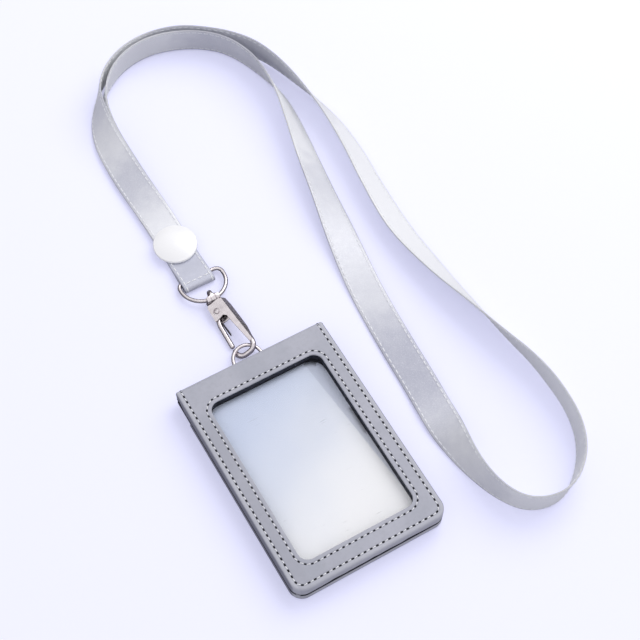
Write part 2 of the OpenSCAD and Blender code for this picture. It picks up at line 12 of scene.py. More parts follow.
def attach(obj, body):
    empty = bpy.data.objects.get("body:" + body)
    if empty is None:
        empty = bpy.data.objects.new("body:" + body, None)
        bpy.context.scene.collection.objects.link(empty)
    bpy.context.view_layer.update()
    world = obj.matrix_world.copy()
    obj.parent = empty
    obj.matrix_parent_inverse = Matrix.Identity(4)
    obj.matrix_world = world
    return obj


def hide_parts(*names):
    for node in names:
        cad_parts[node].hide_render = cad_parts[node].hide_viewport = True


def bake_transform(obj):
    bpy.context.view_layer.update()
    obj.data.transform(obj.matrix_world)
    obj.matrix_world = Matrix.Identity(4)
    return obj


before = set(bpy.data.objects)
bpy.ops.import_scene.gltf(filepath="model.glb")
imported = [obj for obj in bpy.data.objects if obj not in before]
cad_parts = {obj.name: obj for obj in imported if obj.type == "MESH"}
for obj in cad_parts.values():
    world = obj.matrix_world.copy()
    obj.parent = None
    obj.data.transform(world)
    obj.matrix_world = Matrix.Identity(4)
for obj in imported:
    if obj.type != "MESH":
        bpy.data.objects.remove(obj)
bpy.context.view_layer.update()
MM = 0.001
UP = np.array([0.0, 0.0, 1.0])
WHITE = (1.0, 1.0, 1.0, 1.0)
scene = bpy.context.scene


def added(name, data):
    """A new object in the scene."""
    made = bpy.data.objects.new(name, data)
    scene.collection.objects.link(made)
    return made


# ---- camera: its place, its lens, and the picture's directions in the frame

CAMERA_AT, LENS, SENSOR = (-141.1, -227.0, 576.7), 84.375, 36.0
RIGHT = Vector((0.86401858, -0.50300884, 0.0213073))
DOWN = Vector((-0.42535748, -0.75196914, -0.50360046))
FORWARD = Vector((0.26933792, 0.42605693, -0.86367388))

lens_data = bpy.data.cameras.new("view_camera")
lens_data.sensor_width, lens_data.lens = SENSOR, LENS
lens_data.clip_start, lens_data.clip_end = 0.01, 20.0
scene.camera = added("view_camera", lens_data)
scene.camera.matrix_world = (Matrix.Translation(Vector(CAMERA_AT) * MM)
                             @ Matrix((RIGHT, -DOWN, -FORWARD)).transposed().to_4x4())

# ---- sizes

# The wallet's outline: half width, lower edge, fold, corner radii, and the leather's thickness.
HALF_W, LOW, FOLD, CORNER, FOLD_CORNER, LEATHER = 36.0, -52.0, 52.0, 6.0, 1.2, 0.8
# Levels from the rear leather's lower face to the front leather's upper face.
BASE, REAR_LINING, INNER, FRONT, CARD = 3.0, 3.8, 4.2, 5.0, 5.4
PANE, PANE_TOP, SHEET, TOP = 5.75, 6.05, 9.4, 10.2
# Upper ends of the front leaf's layers and of the back pocket.
LEAF_TOP, MOUTH = 50.9, 40.0
# The window: half sizes, corner radius, middle.
WIN_W, WIN_H, WIN_R, WIN_Y = 26.8, 40.5, 4.5, -1.0
# The seams: distance from the edge, upper ends, stitch pitch, groove depth.
SEAM_IN, SEAM_TOP, BACK_SEAM_TOP, PITCH, GROOVE = 2.4, 51.2, 37.6, 2.88, 0.25

# ---- surfaces


def quads(rows, cols, ring=False):
    """Four-sided faces between neighbouring points of a grid whose rows are loops."""
    i, j = np.arange(rows if ring else rows - 1)[:, None], np.arange(cols)[None, :]
    i2, j2 = (i + 1) % rows, (j + 1) % cols
    corners = i * cols + j, i * cols + j2, i2 * cols + j2, i2 * cols + j
    return np.stack(np.broadcast_arrays(*corners), -1).reshape(-1, 4)


def many(grids):
    """Equal closed surfaces in one, from an array of shape, row, point of the row, coordinate."""
    shapes, rows, cols = grids.shape[:3]
    step = (np.arange(shapes) * rows * cols)[:, None, None]
    loop = np.arange(cols)[None, None]
    faces = quads(rows, cols) + step, loop[..., ::-1] + step, loop + (rows - 1) * cols + step
    return grids.reshape(-1, 3), [group.reshape(-1, group.shape[-1]) for group in faces]


def skin(grid, ring=False):
    """A grid of loops as a closed surface: in a ring, or with its first and last rows filled. Loops
    run to the left round the direction in which the rows go."""
    grid = np.asarray(grid)
    if ring:
        return grid.reshape(-1, 3), [quads(*grid.shape[:2], True)]
    return many(grid[None])


def joined(parts):
    """Several surfaces as one."""
    points, faces, start = [], [], 0
    for some, groups in parts:
        points.append(some)
        faces += [group + start for group in groups]
        start += len(some)
    return np.concatenate(points), faces


def mesh_of(name, surface):
    """A surface as a mesh in metres."""
    points, groups = surface
    mesh = bpy.data.meshes.new(name)
    faces = [face for group in groups for face in group.tolist()]
    mesh.from_pydata((points * MM).tolist(), [], faces)
    return mesh


def piece(name, surface, look, body=None, node=None, uv=None, crease=None):
    """A surface as an object at the origin that rides on a body in place of a CAD node. look is its
    material and slot, uv has a pair of numbers for each point, and edges sharper than crease
    degrees stay sharp."""
    mesh = mesh_of(name, surface)
    mesh.polygons.foreach_set("use_smooth", np.ones(len(mesh.polygons), dtype=bool))
    if uv is not None:
        index = np.empty(len(mesh.loops), dtype=np.int32)
        mesh.loops.foreach_get("vertex_index", index)
        layer = mesh.uv_layers.new(name="along")
        layer.data.foreach_set("uv", np.asarray(uv, dtype=np.float32)[index].ravel())
    if crease:
        mesh.set_sharp_from_angle(angle=np.radians(crease))
    material, slot = look
    mesh.materials.append(material)
    mesh.update()
    made = added(name, mesh)
    if body:
        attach(made, body)
    if node:
        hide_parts(node)
    return made


def bevelled(made, width, segments=2):
    """Rounds the piece's edges that are sharper than 35 degrees."""
    rounding = made.modifiers.new("rounding", "BEVEL")
    rounding.width, rounding.segments = width * MM, segments
    rounding.limit_method, rounding.angle_limit = "ANGLE", np.radians(35)
    rounding.harden_normals = True


def carve(made, *cutters):
    """Cuts closed surfaces out of a piece, one after the other."""
    for cutter in cutters:
        mesh = mesh_of("cutter", cutter)
        tool = added("cutter", mesh)
        cut = made.modifiers.new("cut", "BOOLEAN")
        cut.operation, cut.solver, cut.object = "DIFFERENCE", "EXACT", tool
        bpy.context.view_layer.update()
        seen = made.evaluated_get(bpy.context.evaluated_depsgraph_get())
        result = bpy.data.meshes.new_from_object(seen)
        made.modifiers.clear()
        old, made.data = made.data, result
        result.name = made.name
        bpy.data.objects.remove(tool)
        bpy.data.meshes.remove(mesh)
        bpy.data.meshes.remove(old)


def smooth(t):
    """0 below 0, 1 above 1, and the cubic that joins them with level ends."""
    t = np.clip(t, 0.0, 1.0)
    return t * t * (3.0 - 2.0 * t)


def ripple(a, b, scale, seed=0):
    """Unevenness between about -1 and 1: crossed waves whose lengths have no common measure."""
    a, b = a / scale, b / scale
    total = 0.0
    for k, (p, q, r) in enumerate([(1.0, 0.31, 0.4), (-0.47, 1.13, 1.9), (0.77, -0.83, 3.1),
                                   (1.61, 0.9, 4.4), (-1.3, 1.77, 0.9), (2.3, -1.1, 2.6)]):
        total = total + np.sin(p * a + q * b + r + seed * (1.7 + k)) / (1.0 + 0.5 * k)
    return total / 2.6


def arc(x, y, r, start, end, n):
    """Points of a circle's arc between two angles in degrees, ends included."""
    a = np.radians(np.linspace(start, end, n))
    return np.stack([x + r * np.cos(a), y + r * np.sin(a)], -1)


def line(x1, y1, x2, y2, n):
    """Evenly spaced points from one end towards the other, without the last."""
    t = (np.arange(n) / n)[:, None]
    return np.array([[x1, y1]]) * (1.0 - t) + np.array([[x2, y2]]) * t


def outline(w, low, high, r_low, r_high, side=208, base=144, corner=14):
    """A closed outline of half width w: down the left side, along the bottom, up and back, with
    quarter circles for corners."""
    def turn(x, y, r, start):
        return arc(x, y, r, start, start + 90, corner + 1)[:-1]

    foot, crown = low + r_low, high - r_high
    return np.concatenate([
        line(-w, crown, -w, foot, side), turn(r_low - w, foot, r_low, 180),
        line(r_low - w, low, w - r_low, low, base), turn(w - r_low, foot, r_low, 270),
        line(w, foot, w, crown, side), turn(w - r_high, crown, r_high, 0),
        line(w - r_high, high, r_high - w, high, base), turn(r_high - w, crown, r_high, 90)])


def leaf(inset, high, top_inset):
    """The wallet's outline drawn in by an inset, with an upper edge of its own."""
    return outline(HALF_W - inset, LOW + inset, high - top_inset, max(CORNER - inset, 0.3),
                   max(FOLD_CORNER - inset, 0.12))


def window(margin, **counts):
    """The window's outline drawn out by a margin."""
    r, h = max(WIN_R + margin, 0.3), WIN_H + margin
    return outline(WIN_W + margin, WIN_Y - h, WIN_Y + h, r, r, **counts)


def raised(flat, z):
    """A flat outline at a level, or at a level for each point."""
    return np.concatenate([flat, np.broadcast_to(z, flat.shape[:1])[:, None]], -1)


def unit(vectors):
    """Vectors scaled to length 1."""
    return vectors / np.linalg.norm(vectors, axis=-1, keepdims=True)


def carried(path, section, scale=1.0, ring=False):
    """A section carried along a flat path: its first number runs to the left of the path, its
    second upwards."""
    ahead = np.roll(path, -1, 0) - np.roll(path, 1, 0) if ring else np.gradient(path, axis=0)
    across = unit(np.cross(UP, unit(ahead)))
    section = section[None] * np.broadcast_to(scale, len(path))[:, None, None]
    return path[:, None] + section[..., :1] * across[:, None] + section[..., 1:] * UP


def round_section(r, n=20, power=2.0):
    """A circle, or a squarer loop with a higher power (a superellipse)."""
    a = 2.0 * np.pi * np.arange(n) / n
    c, s = np.cos(a), np.sin(a)
    return np.stack([r * np.sign(c) * np.abs(c) ** (2.0 / power),
                     r * np.sign(s) * np.abs(s) ** (2.0 / power)], -1)


def rounded_ends(path, r):
    """A path and scales that close a bar with half balls: past each end the rows shrink with an
    angle's cosine while they go on with its sine."""
    a = np.radians(np.linspace(82.0, 15.0, 5))
    head = path[0] + r * np.sin(a)[:, None] * unit(path[0] - path[1])
    tail = path[-1] + r * np.sin(a[::-1])[:, None] * unit(path[-1] - path[-2])
    return (np.concatenate([head, path, tail]),
            np.concatenate([np.cos(a), np.ones(len(path)), np.cos(a[::-1])]))


def flat_path(*parts):
    """Flat pieces of a path as one, at height 0, without doubled points."""
    points = np.concatenate(parts)
    keep = np.append(True, np.linalg.norm(np.diff(points, axis=0), axis=1) > 1e-6)
    return raised(points[keep], 0.0)


def bar(path, r, n=20, power=2.0, scale=1.0):
    """A bar along a flat path, with half balls on its ends."""
    path, ends = rounded_ends(path, r)
    return skin(carried(path, round_section(r, n, power), ends * scale))


def lathe(profile, n, at=(0, 0, 0)):
    """A profile of radius and height turned once about an upright axis, from the lowest row of its
    outer side."""
    a = 2.0 * np.pi * np.arange(n) / n
    r, z = np.asarray(profile, float).T[:, :, None, None]
    return placed(skin(r * np.stack([np.cos(a), np.sin(a), np.zeros(n)], -1) + z * UP), at)


def prism(polygon, low, high):
    """A flat polygon that turns left, raised between two levels."""
    polygon = np.asarray(polygon, float)
    return skin([raised(polygon, z) for z in (low, high)])


def tilt(axis, degrees):
    """A turn about X or Y as a matrix."""
    c, s = np.cos(np.radians(degrees)), np.sin(np.radians(degrees))
    return (np.array([[1, 0, 0], [0, c, -s], [0, s, c]]) if axis == "x"
            else np.array([[c, 0, s], [0, 1, 0], [-s, 0, c]]))


def placed(surface, at, turn=np.eye(3)):
    """A surface turned by a matrix and then moved."""
    return surface[0] @ turn.T + np.asarray(at, float), surface[1]


# ---- finishes


def maths(operation, *fixed):
    """A method that adds a Math node."""
    def method(self, *others):
        inputs = dict(enumerate((self,) + others + fixed))
        return self.finish.node("Math", inputs, operation=operation)
    return method


class Value:
    """A socket in a finish. Arithmetic on it adds Math nodes."""

    def __init__(self, finish, socket):
        self.finish, self.socket = finish, socket

    __add__ = __radd__ = maths("ADD")
    __sub__ = maths("SUBTRACT")
    __mul__ = __rmul__ = maths("MULTIPLY")
    __truediv__ = maths("DIVIDE")
    __pow__ = maths("POWER")
    __neg__ = maths("MULTIPLY", -1.0)
    sine, size, more = maths("SINE"), maths("ABSOLUTE"), maths("MAXIMUM")

    def step(self, low, high):
        """0 at low and 1 at high with level ends; low may be the larger."""
        return self.finish.node("MapRange", {0: self, 1: low, 2: high, 3: 0.0, 4: 1.0},
                                interpolation_type="SMOOTHSTEP")


def tint(colour):
    """A screen colour of three numbers up to 255 as a shader's linear colour; all else as it is."""
    if not isinstance(colour, tuple) or len(colour) != 3:
        return colour
    c = np.array(colour) / 255.0
    return tuple(np.where(c <= 0.04045, c / 12.92, ((c + 0.055) / 1.055) ** 2.4)) + (1.0,)


class Finish:
    """A material under construction, carrying a slot name that this script gives to no piece; or
    the world.
    """

    def __init__(self, name, slot=None, world=False):
        self.slot = slot or name
        self.made = (bpy.data.worlds if world else bpy.data.materials).new(name)
        self.made.use_nodes = True
        self.tree = self.made.node_tree
        self.tree.nodes.clear()
        self.last = self.tree.nodes.new("ShaderNodeOutput" + ("World" if world else "Material"))
        self.place = None if world else self.node("TexCoord", out="Object")

    def node(self, kind, inputs=None, out=0, **settings):
        """Adds any node: its settings first, then its inputs, as numbers or links."""
        made = self.tree.nodes.new("ShaderNode" + kind)
        for key, value in settings.items():
            setattr(made, key, value)
        for key, value in (inputs or {}).items():
            if isinstance(value, Value):
                self.tree.links.new(value.socket, made.inputs[key])
            else:
                made.inputs[key].default_value = tint(value)
        return Value(self, made.outputs[out])

    def vector(self, operation, first, second, out=0):
        """Vector arithmetic."""
        return self.node("VectorMath", {0: first, 1: second}, out, operation=operation)

    def parts(self, vector):
        """The three numbers of a vector."""
        split = self.node("SeparateXYZ", {0: vector})
        return [Value(self, socket) for socket in split.socket.node.outputs]

    def rays(self, *names):
        """What a Light Path node tells about the ray."""
        outputs = self.node("LightPath").socket.node.outputs
        return [Value(self, outputs["Is %s Ray" % name]) for name in names]

    def uv(self):
        """The piece's own pair of numbers: the way along it and across it, in millimetres."""
        return self.parts(self.node("UVMap", uv_map="along"))[:2]

    def stretched(self, *sizes):
        """Object coordinates in units of three sizes in millimetres."""
        return self.vector("MULTIPLY", self.place, Vector([1 / (size * MM) for size in sizes]))

    def texture(self, kind, size, at, inputs, out=0, **settings):
        """A texture with features of a size in millimetres, or over given coordinates."""
        where = {"Vector": at or self.place, "Scale": 1.0 if at else 1 / (size * MM)}
        return self.node("Tex" + kind, {**where, **inputs}, out, **settings)

    def noise(self, size, detail=3.0, rough=0.55, at=None, out=0):
        """Soft noise from 0 to 1."""
        return self.texture("Noise", size, at, {"Detail": detail, "Roughness": rough}, out)

    def cells(self, size, feature="F1", at=None, out="Distance", jitter=1.0):
        """Cells: the distance to the nearest centre or edge."""
        return self.texture("Voronoi", size, at, {"Randomness": jitter}, out, feature=feature)

    def blend(self, share, first, second, *layers):
        """A colour between two colours, and more colours laid over it by shares of their own."""
        for share, second in ((share, second),) + layers:
            first = self.node("Mix", {0: share, 6: first, 7: second}, 2, data_type="RGBA")
        return first

    def mix(self, share, first, second):
        """A shader between two shaders."""
        return self.node("MixShader", {0: share, 1: first, 2: second})

    def glow(self, colour, strength=1.0):
        """Light of its own."""
        return self.node("Emission", {"Color": colour, "Strength": strength})

    def end(self, shader):
        """Ends in a shader, and gives the material and its slot."""
        self.tree.links.new(shader.socket, self.last.inputs[0])
        return self.made, self.slot

    def surface(self, colour, rough, height=None, depth=0.0, strength=0.0, **more):
        """Ends in a Principled shader, with a relief from a height of 0 to 1 and a depth in
        millimetres. Names of more inputs take spaces for underlines."""
        inputs = {"Base Color": colour, "Roughness": rough}
        if height:
            inputs["Normal"] = self.node("Bump", {"Strength": strength, "Distance": depth * MM,
                                                  "Height": height})
        inputs.update((key.replace("_", " "), value) for key, value in more.items())
        return self.end(self.node("BsdfPrincipled", inputs))


def grey_leather():
    """Smooth grey leather: pebbled grain, small creases, cloudy colour, pale edges, and painted
    shade: darker sides, a darker strip at the lower left and nearly black ends at the fold."""
    f = Finish("grey_leather")
    x, y, z = f.parts(f.place)
    grain = f.cells(0.42, "SMOOTH_F1", jitter=0.9)
    fine = f.noise(0.16, 2.0)
    bent = f.noise(2.2, 2.0, 0.5, out="Color")
    crease = f.cells(3.6, "DISTANCE_TO_EDGE", f.vector("ADD", f.stretched(3.6, 3.6, 3.6), bent))
    cloud, mottle = f.noise(16.0, 3.0), f.noise(1.6, 4.0, 0.65)
    margin = (x.size() - 33.1 * MM).more(-y - 49.1 * MM).step(0.0, 0.9 * MM)
    # Painted shade: the wallet's sides darker.
    side = (x.size() - 35.3 * MM).step(0.0, 0.6 * MM)
    # Painted shade: a darker strip at the left between the window and the outer seam.
    left = ((-x - 29.5 * MM).step(-2.5 * MM, 0.0) * (-x - 33.4 * MM).step(0.3 * MM, 0.0)
            * (y - 39.0 * MM).step(0.0, -14.0 * MM))
    # Painted shade: the fold's ends nearly black, as under the front leaf's edge.
    fold_end_shade = ((x.size() - 35.1 * MM).step(0.0, 0.3 * MM) * (y - 50.0 * MM).step(0.0, 0.5 * MM)
               * (z - 9.3 * MM).step(0.3 * MM, -0.2 * MM))
    colour = f.blend(cloud.step(0.3, 0.7), (170, 172, 183), (181, 182, 193),
                     (mottle.step(0.42, 0.75) * 0.35, (162, 163, 172)),
                     (margin * 0.4, (196, 197, 205)), (side * 0.9, (122, 123, 138)),
                     (left * 0.3, (156, 157, 168)), (fold_end_shade * 0.9, (38, 39, 50)))
    height = grain * 0.55 + fine * 0.25 + crease.step(0.0, 0.05) * 0.2 + mottle * 0.5
    return f.surface(colour, 0.42 + mottle * 0.16 + grain * 0.1, height, 0.07, 0.8,
                     Specular_IOR_Level=0.45)


def black_board():
    """Black fibre board: rough cut edge with a few pale specks."""
    f = Finish("black_board")
    rough = f.noise(0.5, 5.0, 0.7)
    speck = f.cells(1.9).step(0.17, 0.08) * f.noise(2.7, 1.0).step(0.5, 0.62)
    colour = f.blend(rough.step(0.3, 0.75), (24, 27, 38), (44, 48, 64),
                     (speck * 0.6, (150, 155, 170)))
    return f.surface(colour, 0.62 + rough * 0.25, rough + speck, 0.14, 0.7)


def thread(name, deep, high):
    """Waxed thread of two twisted strands, in greys from deep to high."""
    f = Finish(name, "pale_thread")
    along, across = f.uv()
    twist = ((along * 2.0 + across * 2.6) * 2.2).sine() * 0.5 + 0.5
    fuzz = f.noise(0.12, 2.0)
    colour = f.blend(twist * 0.8 + fuzz * 0.2, (deep, deep + 1, deep + 5),
                     (high, high + 1, high + 4))
    return f.surface(colour, 0.5 + fuzz * 0.2, twist, 0.08, 0.8)


def needle_hole_shade():
    """Painted shade in a needle hole: nearly black, paler towards its rim."""
    f = Finish("needle_hole_shade", "black_board")
    along, across = f.uv()
    reach = (along * along + across * across) ** 0.5
    colour = f.blend(reach.step(0.56, 0.72) * 0.6 + f.noise(0.3) * 0.15, (12, 12, 22), (52, 53, 66))
    return f.surface(colour, 0.8 + f.noise(0.2) * 0.1)


def nickel(name, hollow=None):
    """Plated metal: a soft polish with fine pitting, faint scuffs and greyer patches. hollow, a
    middle with three directions and half sizes, marks a box that is painted nearly black as shade."""
    f = Finish(name, "nickel")
    scuff = f.noise(1.0, 4.0, 0.7, at=f.stretched(0.5, 2.4, 0.5))
    pitting, patch = f.noise(0.22, 2.0), f.noise(2.6, 2.0)
    colour = f.blend(patch.step(0.3, 0.75) * 0.7, (229, 222, 226), (205, 197, 202),
                     (pitting.step(0.5, 0.75) * 0.4, (158, 152, 155)))
    if hollow:
        middle, ways, halves = hollow
        local = f.vector("SUBTRACT", f.place, Vector(middle * MM))
        inside = 1.0
        for way, half in zip(ways, halves):
            reach = f.vector("DOT_PRODUCT", local, Vector(way), "Value").size()
            inside = reach.step((half + 0.02) * MM, (half - 0.05) * MM) * inside
        # Painted shade: nearly black inside the hollow.
        colour = f.blend(inside * 0.93, colour, (24, 22, 24))
    return f.surface(colour, 0.17 + scuff * 0.12 + pitting * 0.06, scuff + pitting * 0.5, 0.02, 0.5,
                     Metallic=1.0, Specular_Tint=(0.12, 0.11, 0.13, 1.0))


def spring_steel():
    """Dark drawn wire with fine lines along it."""
    f = Finish("spring_steel")
    drawn = f.noise(1.0, 3.0, 0.6, at=f.stretched(0.12, 2.0, 0.12))
    return f.surface(f.blend(drawn, (52, 51, 56), (96, 94, 98)), 0.28 + drawn * 0.15, drawn,
                     0.01, 0.5, Metallic=1.0)


# The way along the ribbon starts at 0, and the way along the fold at the D ring from here.
TAIL_FROM = 1000.0
# Painted highlights along the satin: middle, reach and strength; below 0 it is painted shade.
PAINTED_GLINTS = ((0, 30, 0.25), (35, 20, -0.2), (60, 22, 0.3), (108, 28, 1.0), (290, 95, 0.65),
          (395, 90, 0.6), (475, 30, 0.8), (515, 22, 0.4), (568, 40, -0.4), (660, 80, 0.1),
          (712, 38, 0.7), (826, 50, 1.0), (895, 18, -0.2), (930, 40, 0.25))


def silver_ribbon():
    """Satin ribbon: fine ribs across it, a close weave along it, glittering threads, and painted
    highlights and shade along it, painted shade at its edges and a darker tail at the fold."""
    f = Finish("silver_ribbon")
    along, across = f.uv()
    rib = (along * (2 * np.pi / 0.42)).sine() * 0.5 + 0.5
    warp = (across * (2 * np.pi / 0.36)).sine() * 0.5 + 0.5
    spark = f.parts(f.cells(0.26, out="Color"))[0].step(0.7, 0.98)
    way = along + f.noise(7.0, 2.0) * 16.0 - 8.0
    # Painted highlights and shade along the ribbon's way.
    painted_sheen = 0.5
    for middle, reach, strength in PAINTED_GLINTS:
        painted_sheen = (way - middle).size().step(reach, reach * 0.2) * strength + painted_sheen
    soft = f.noise(5.0, 3.0, 0.6)
    colour = f.blend((painted_sheen + soft * 0.3 - 0.15).more(0.0), (187, 189, 204), (253, 254, 255),
                     (rib * 0.16 + warp * 0.12, (184, 185, 201)), (spark * 0.35, (238, 239, 246)),
                     # painted shade along both edges, where the two layers meet
                     (across.size().step(7.0, 7.3) * 0.35, (150, 150, 163)),
                     # painted shade: the tail past the fold's start darker and bluer
                     ((along - TAIL_FROM).step(0.0, 2.0) * 0.4, (160, 164, 190)))
    return f.surface(colour, 0.43 + rib * 0.08 + soft * 0.12 - spark * 0.15,
                     rib * 0.6 + warp * 0.4, 0.05, 0.5, Metallic=0.1 + spark * 0.2,
                     Sheen_Weight=0.2, Sheen_Roughness=0.4)


def white_plastic():
    """Glossy moulded plastic: very slight flow marks and handling scuffs."""
    f = Finish("white_plastic")
    flow, scuff = f.noise(5.0, 2.0), f.noise(0.8, 4.0, 0.7)
    return f.surface(f.blend(flow, (253, 253, 254), (255, 255, 255)), 0.24 + scuff * 0.12, flow,
                     0.03, 0.4, Coat_Weight=0.2)


def window_shading(f, size, spread, low, high):
    """Painted shading across the window: 0 at its upper left and 1 at its lower right, with a
    cloudy border between.
    """
    x, y, _ = f.parts(f.place)
    return ((x * 0.55 - y) / MM + f.noise(size, 2.0) * spread - spread / 2).step(low, high)


def clear_film():
    """Clear film: a soft haze, painted shading bluer towards the upper left, and a few hairline
    scratches.
    """
    f = Finish("clear_film")
    wave = f.noise(16.0, 2.0)
    scratch = f.noise(1.0, 2.0, 0.5, at=f.stretched(9.0, 0.25, 3.0)).step(0.7, 0.78)
    # Painted shading: darker and bluer towards the upper left.
    colour = f.blend(window_shading(f, 16.0, 22.0, -46.0, 44.0), (216, 224, 240), (254, 254, 255))
    return f.surface(colour, 0.1 + wave * 0.08 + scratch * 0.3, wave, 0.3, 0.3,
                     Alpha=0.1 + scratch * 0.2)


def white_card():
    """Blank insert: fine fibres, painted shading bluer towards its upper left, and a painted
    shadow: a greyer strip that widens along its right edge."""
    f = Finish("white_card")
    x, y, _ = f.parts(f.place)
    fibre = f.noise(0.7, 4.0, 0.6)
    # Painted shadow of the window's right wall: a greyer strip along the card's right edge.
    strip = (x - 26.8 * MM + (y + 34.0 * MM) * 0.095).step(-0.4 * MM, 0.5 * MM)
    # Painted shading: darker and bluer towards the upper left.
    colour = f.blend(window_shading(f, 20.0, 24.0, -50.0, 40.0) - fibre * 0.1, (214, 223, 242),
                     (255, 255, 255), (strip * 0.75, (196, 202, 219)))
    return f.surface(colour, 0.5 + fibre * 0.15, fibre, 0.02, 0.4)


def black_lining():
    """Black woven lining with a close plain weave."""
    f = Finish("black_lining", "black_board")
    x, y, _ = f.parts(f.place)
    turn = 2 * np.pi / (0.5 * MM)
    weave = (x * turn).sine() * (y * turn).sine() * 0.5 + 0.5
    wear = f.noise(6.0, 3.0)
    colour = f.blend(weave * 0.5 + wear * 0.4, (22, 24, 33), (50, 53, 66))
    return f.surface(colour, 0.7 + wear * 0.2, weave, 0.05, 0.8)


def pale_floor():
    """Plain pale floor: it keeps shadows, runs out to white far away, and is dimmer in
    reflections."""
    f = Finish("pale_floor")
    camera, glossy, clear = f.rays("Camera", "Glossy", "Transmission")
    colour = f.blend(f.noise(3.0, 2.0) * 0.3, (208, 209, 226), (204, 205, 223))
    cloth = f.node("BsdfDiffuse", {"Color": colour})
    dim = f.node("BsdfDiffuse", {"Color": (158, 158, 167)})
    lit = f.node("AddShader", {0: cloth, 1: f.glow((212, 213, 242), 0.5)})
    near = f.mix(glossy, f.mix(camera.more(clear), cloth, lit), dim)
    x, y, _ = f.parts(f.place)
    far = ((x * x + y * y) ** 0.5).step(0.6, 1.6) * camera
    return f.end(f.mix(far, near, f.glow(WHITE)))


def dark_flag():
    """A flag's cloth: only reflections see it, as a dark grey."""
    f = Finish("dark_flag")
    glossy, = f.rays("Glossy")
    return f.end(f.mix(glossy, f.node("BsdfTransparent"), f.glow((46, 45, 50))))


GREY, BOARD, LINING = grey_leather(), black_board(), black_lining()
SEWING, BRIGHT = thread("pale_thread", 222, 248), thread("bright_thread", 234, 252)
HOLE_SHADE, METAL, WIRE = needle_hole_shade(), nickel("nickel"), spring_steel()
RIBBON, PLASTIC, FILM, PAPER = silver_ribbon(), white_plastic(), clear_film(), white_card()

# ---- seams


def stitches(at, middles, length, width, height, lean=0.0):
    """Short capsules of thread along a line: five rows each, narrower at their ends, leaning
    across the line by a share of the way. at(s) gives the line's point, the direction across it
    and the direction out of the surface."""
    t = np.array([-0.5, -0.38, 0.0, 0.38, 0.5])
    girth = np.array([0.4, 0.88, 1.0, 0.88, 0.4])[None, :, None, None]
    rise = np.array([0.15, 0.42, 0.5, 0.42, 0.15])[None, :, None, None]
    s = middles[:, None] + t[None] * length
    point, across, out = (value[:, :, None] for value in at(s))
    a = 2.0 * np.pi * np.arange(6) / 6
    wide = (np.cos(a) * width / 2)[None, None, :, None] * girth
    deep = (np.sin(a) * height / 2)[None, None, :, None] * girth
    shift = (lean * t * length)[None, :, None, None]
    grid = point + (wide + shift) * across + (deep + rise * height) * out
    uv = np.broadcast_arrays((t * length)[None, :, None], wide[..., 0] + 0 * s[:, :, None])
    return many(grid), np.stack(uv, -1).reshape(-1, 2)


def holes(at, middles, r):
    """Small closed pucks that stand for the needle holes between stitches: dark discs of painted
    shade.
    """
    point, across, out = (value[:, None] for value in at(middles))
    ahead = np.cross(across, out)
    a = -2.0 * np.pi * np.arange(10) / 10
    share, rise = np.array([[1.0, -0.1], [0.94, 0.11], [0.6, 0.13]]).T[:, :, None, None]
    ring = np.cos(a)[:, None] * across + np.sin(a)[:, None] * ahead
    grid = point[:, None] + r * share * ring[:, None] + rise * out[:, None]
    flat = r * share * np.stack([np.cos(a), np.sin(a)], -1)
    return many(grid), np.broadcast_to(flat, (len(middles),) + flat.shape).reshape(-1, 2)


def seam(w, h, r, mid_y, level, out):
    """A seam along a rounded rectangle: from the top of its left side down, across, up and back."""
    a, b, q = h - 2 * r, w - 2 * r, np.pi * r / 2
    starts = np.cumsum([0, a, q, b, q, a, q, b])
    centres = np.array([[-b, -a], [b, -a], [b, a], [-b, a]]) / 2 + [0.0, mid_y]

    def at(s):
        leg = np.searchsorted(starts[1:], s, "right")
        bend, d = leg % 2, s - starts[leg]
        turn = np.radians(90.0 * (leg // 2) - 90.0) + bend * d / r
        ahead = np.stack([np.cos(turn), np.sin(turn)], -1)
        left = np.stack([-np.sin(turn), np.cos(turn)], -1)
        flat = (centres[(leg // 2 - 1 + bend) % 4] - r * left
                + ((1 - bend) * d)[..., None] * ahead)
        zero = 0.0 * d[..., None]
        return (np.concatenate([flat, level + zero], -1),
                np.concatenate([left, zero], -1) * out, zero + UP * out)
    return at


def seam_distance(x, y, w, h, r, mid_y):
    """How far a point is from a rounded rectangle's line, whichever side it is on."""
    px, py = np.abs(x) - (w / 2 - r), np.abs(y - mid_y) - (h / 2 - r)
    inside = np.minimum(np.maximum(px, py), 0)
    return np.abs(np.hypot(np.maximum(px, 0), np.maximum(py, 0)) + inside - r)


def open_seam(top):
    """A seam along three edges of the wallet up to a height: a rounded rectangle whose upper side
    and corners are left out."""
    r, low = CORNER - SEAM_IN, LOW + SEAM_IN
    height = top + r - low
    return 2 * (HALF_W - SEAM_IN), height, r, low + height / 2


FRONT_SEAM, BACK_SEAM = open_seam(SEAM_TOP), open_seam(BACK_SEAM_TOP)
WINDOW_SEAM = (2 * WIN_W + 4, 2 * WIN_H + 4, WIN_R + 2, WIN_Y)
# A stitch of the leather's seams: length, width, height and lean.
STITCH = 1.55, 0.56, 0.36, 0.16


def sewn(name, line, level, body, node, out=1.0, closed=False, hole=0.66):
    """A seam's thread and its needle holes, one stitch in each step."""
    w, h, r, _ = line
    run = 2 * (h - 2 * r) + (1 + closed) * (w - 2 * r + np.pi * r)
    at = seam(*line, level, out)
    count = int(round(run / PITCH))
    step = run / count
    surface, uv = stitches(at, (np.arange(count) + 0.5) * step, *STITCH)
    piece(name + "_thread", surface, SEWING, body, node, uv)
    surface, uv = holes(at, np.arange(count + (not closed)) * step, hole)
    piece(name + "_holes", surface, HOLE_SHADE, body, None, uv)


# ---- neck ribbon

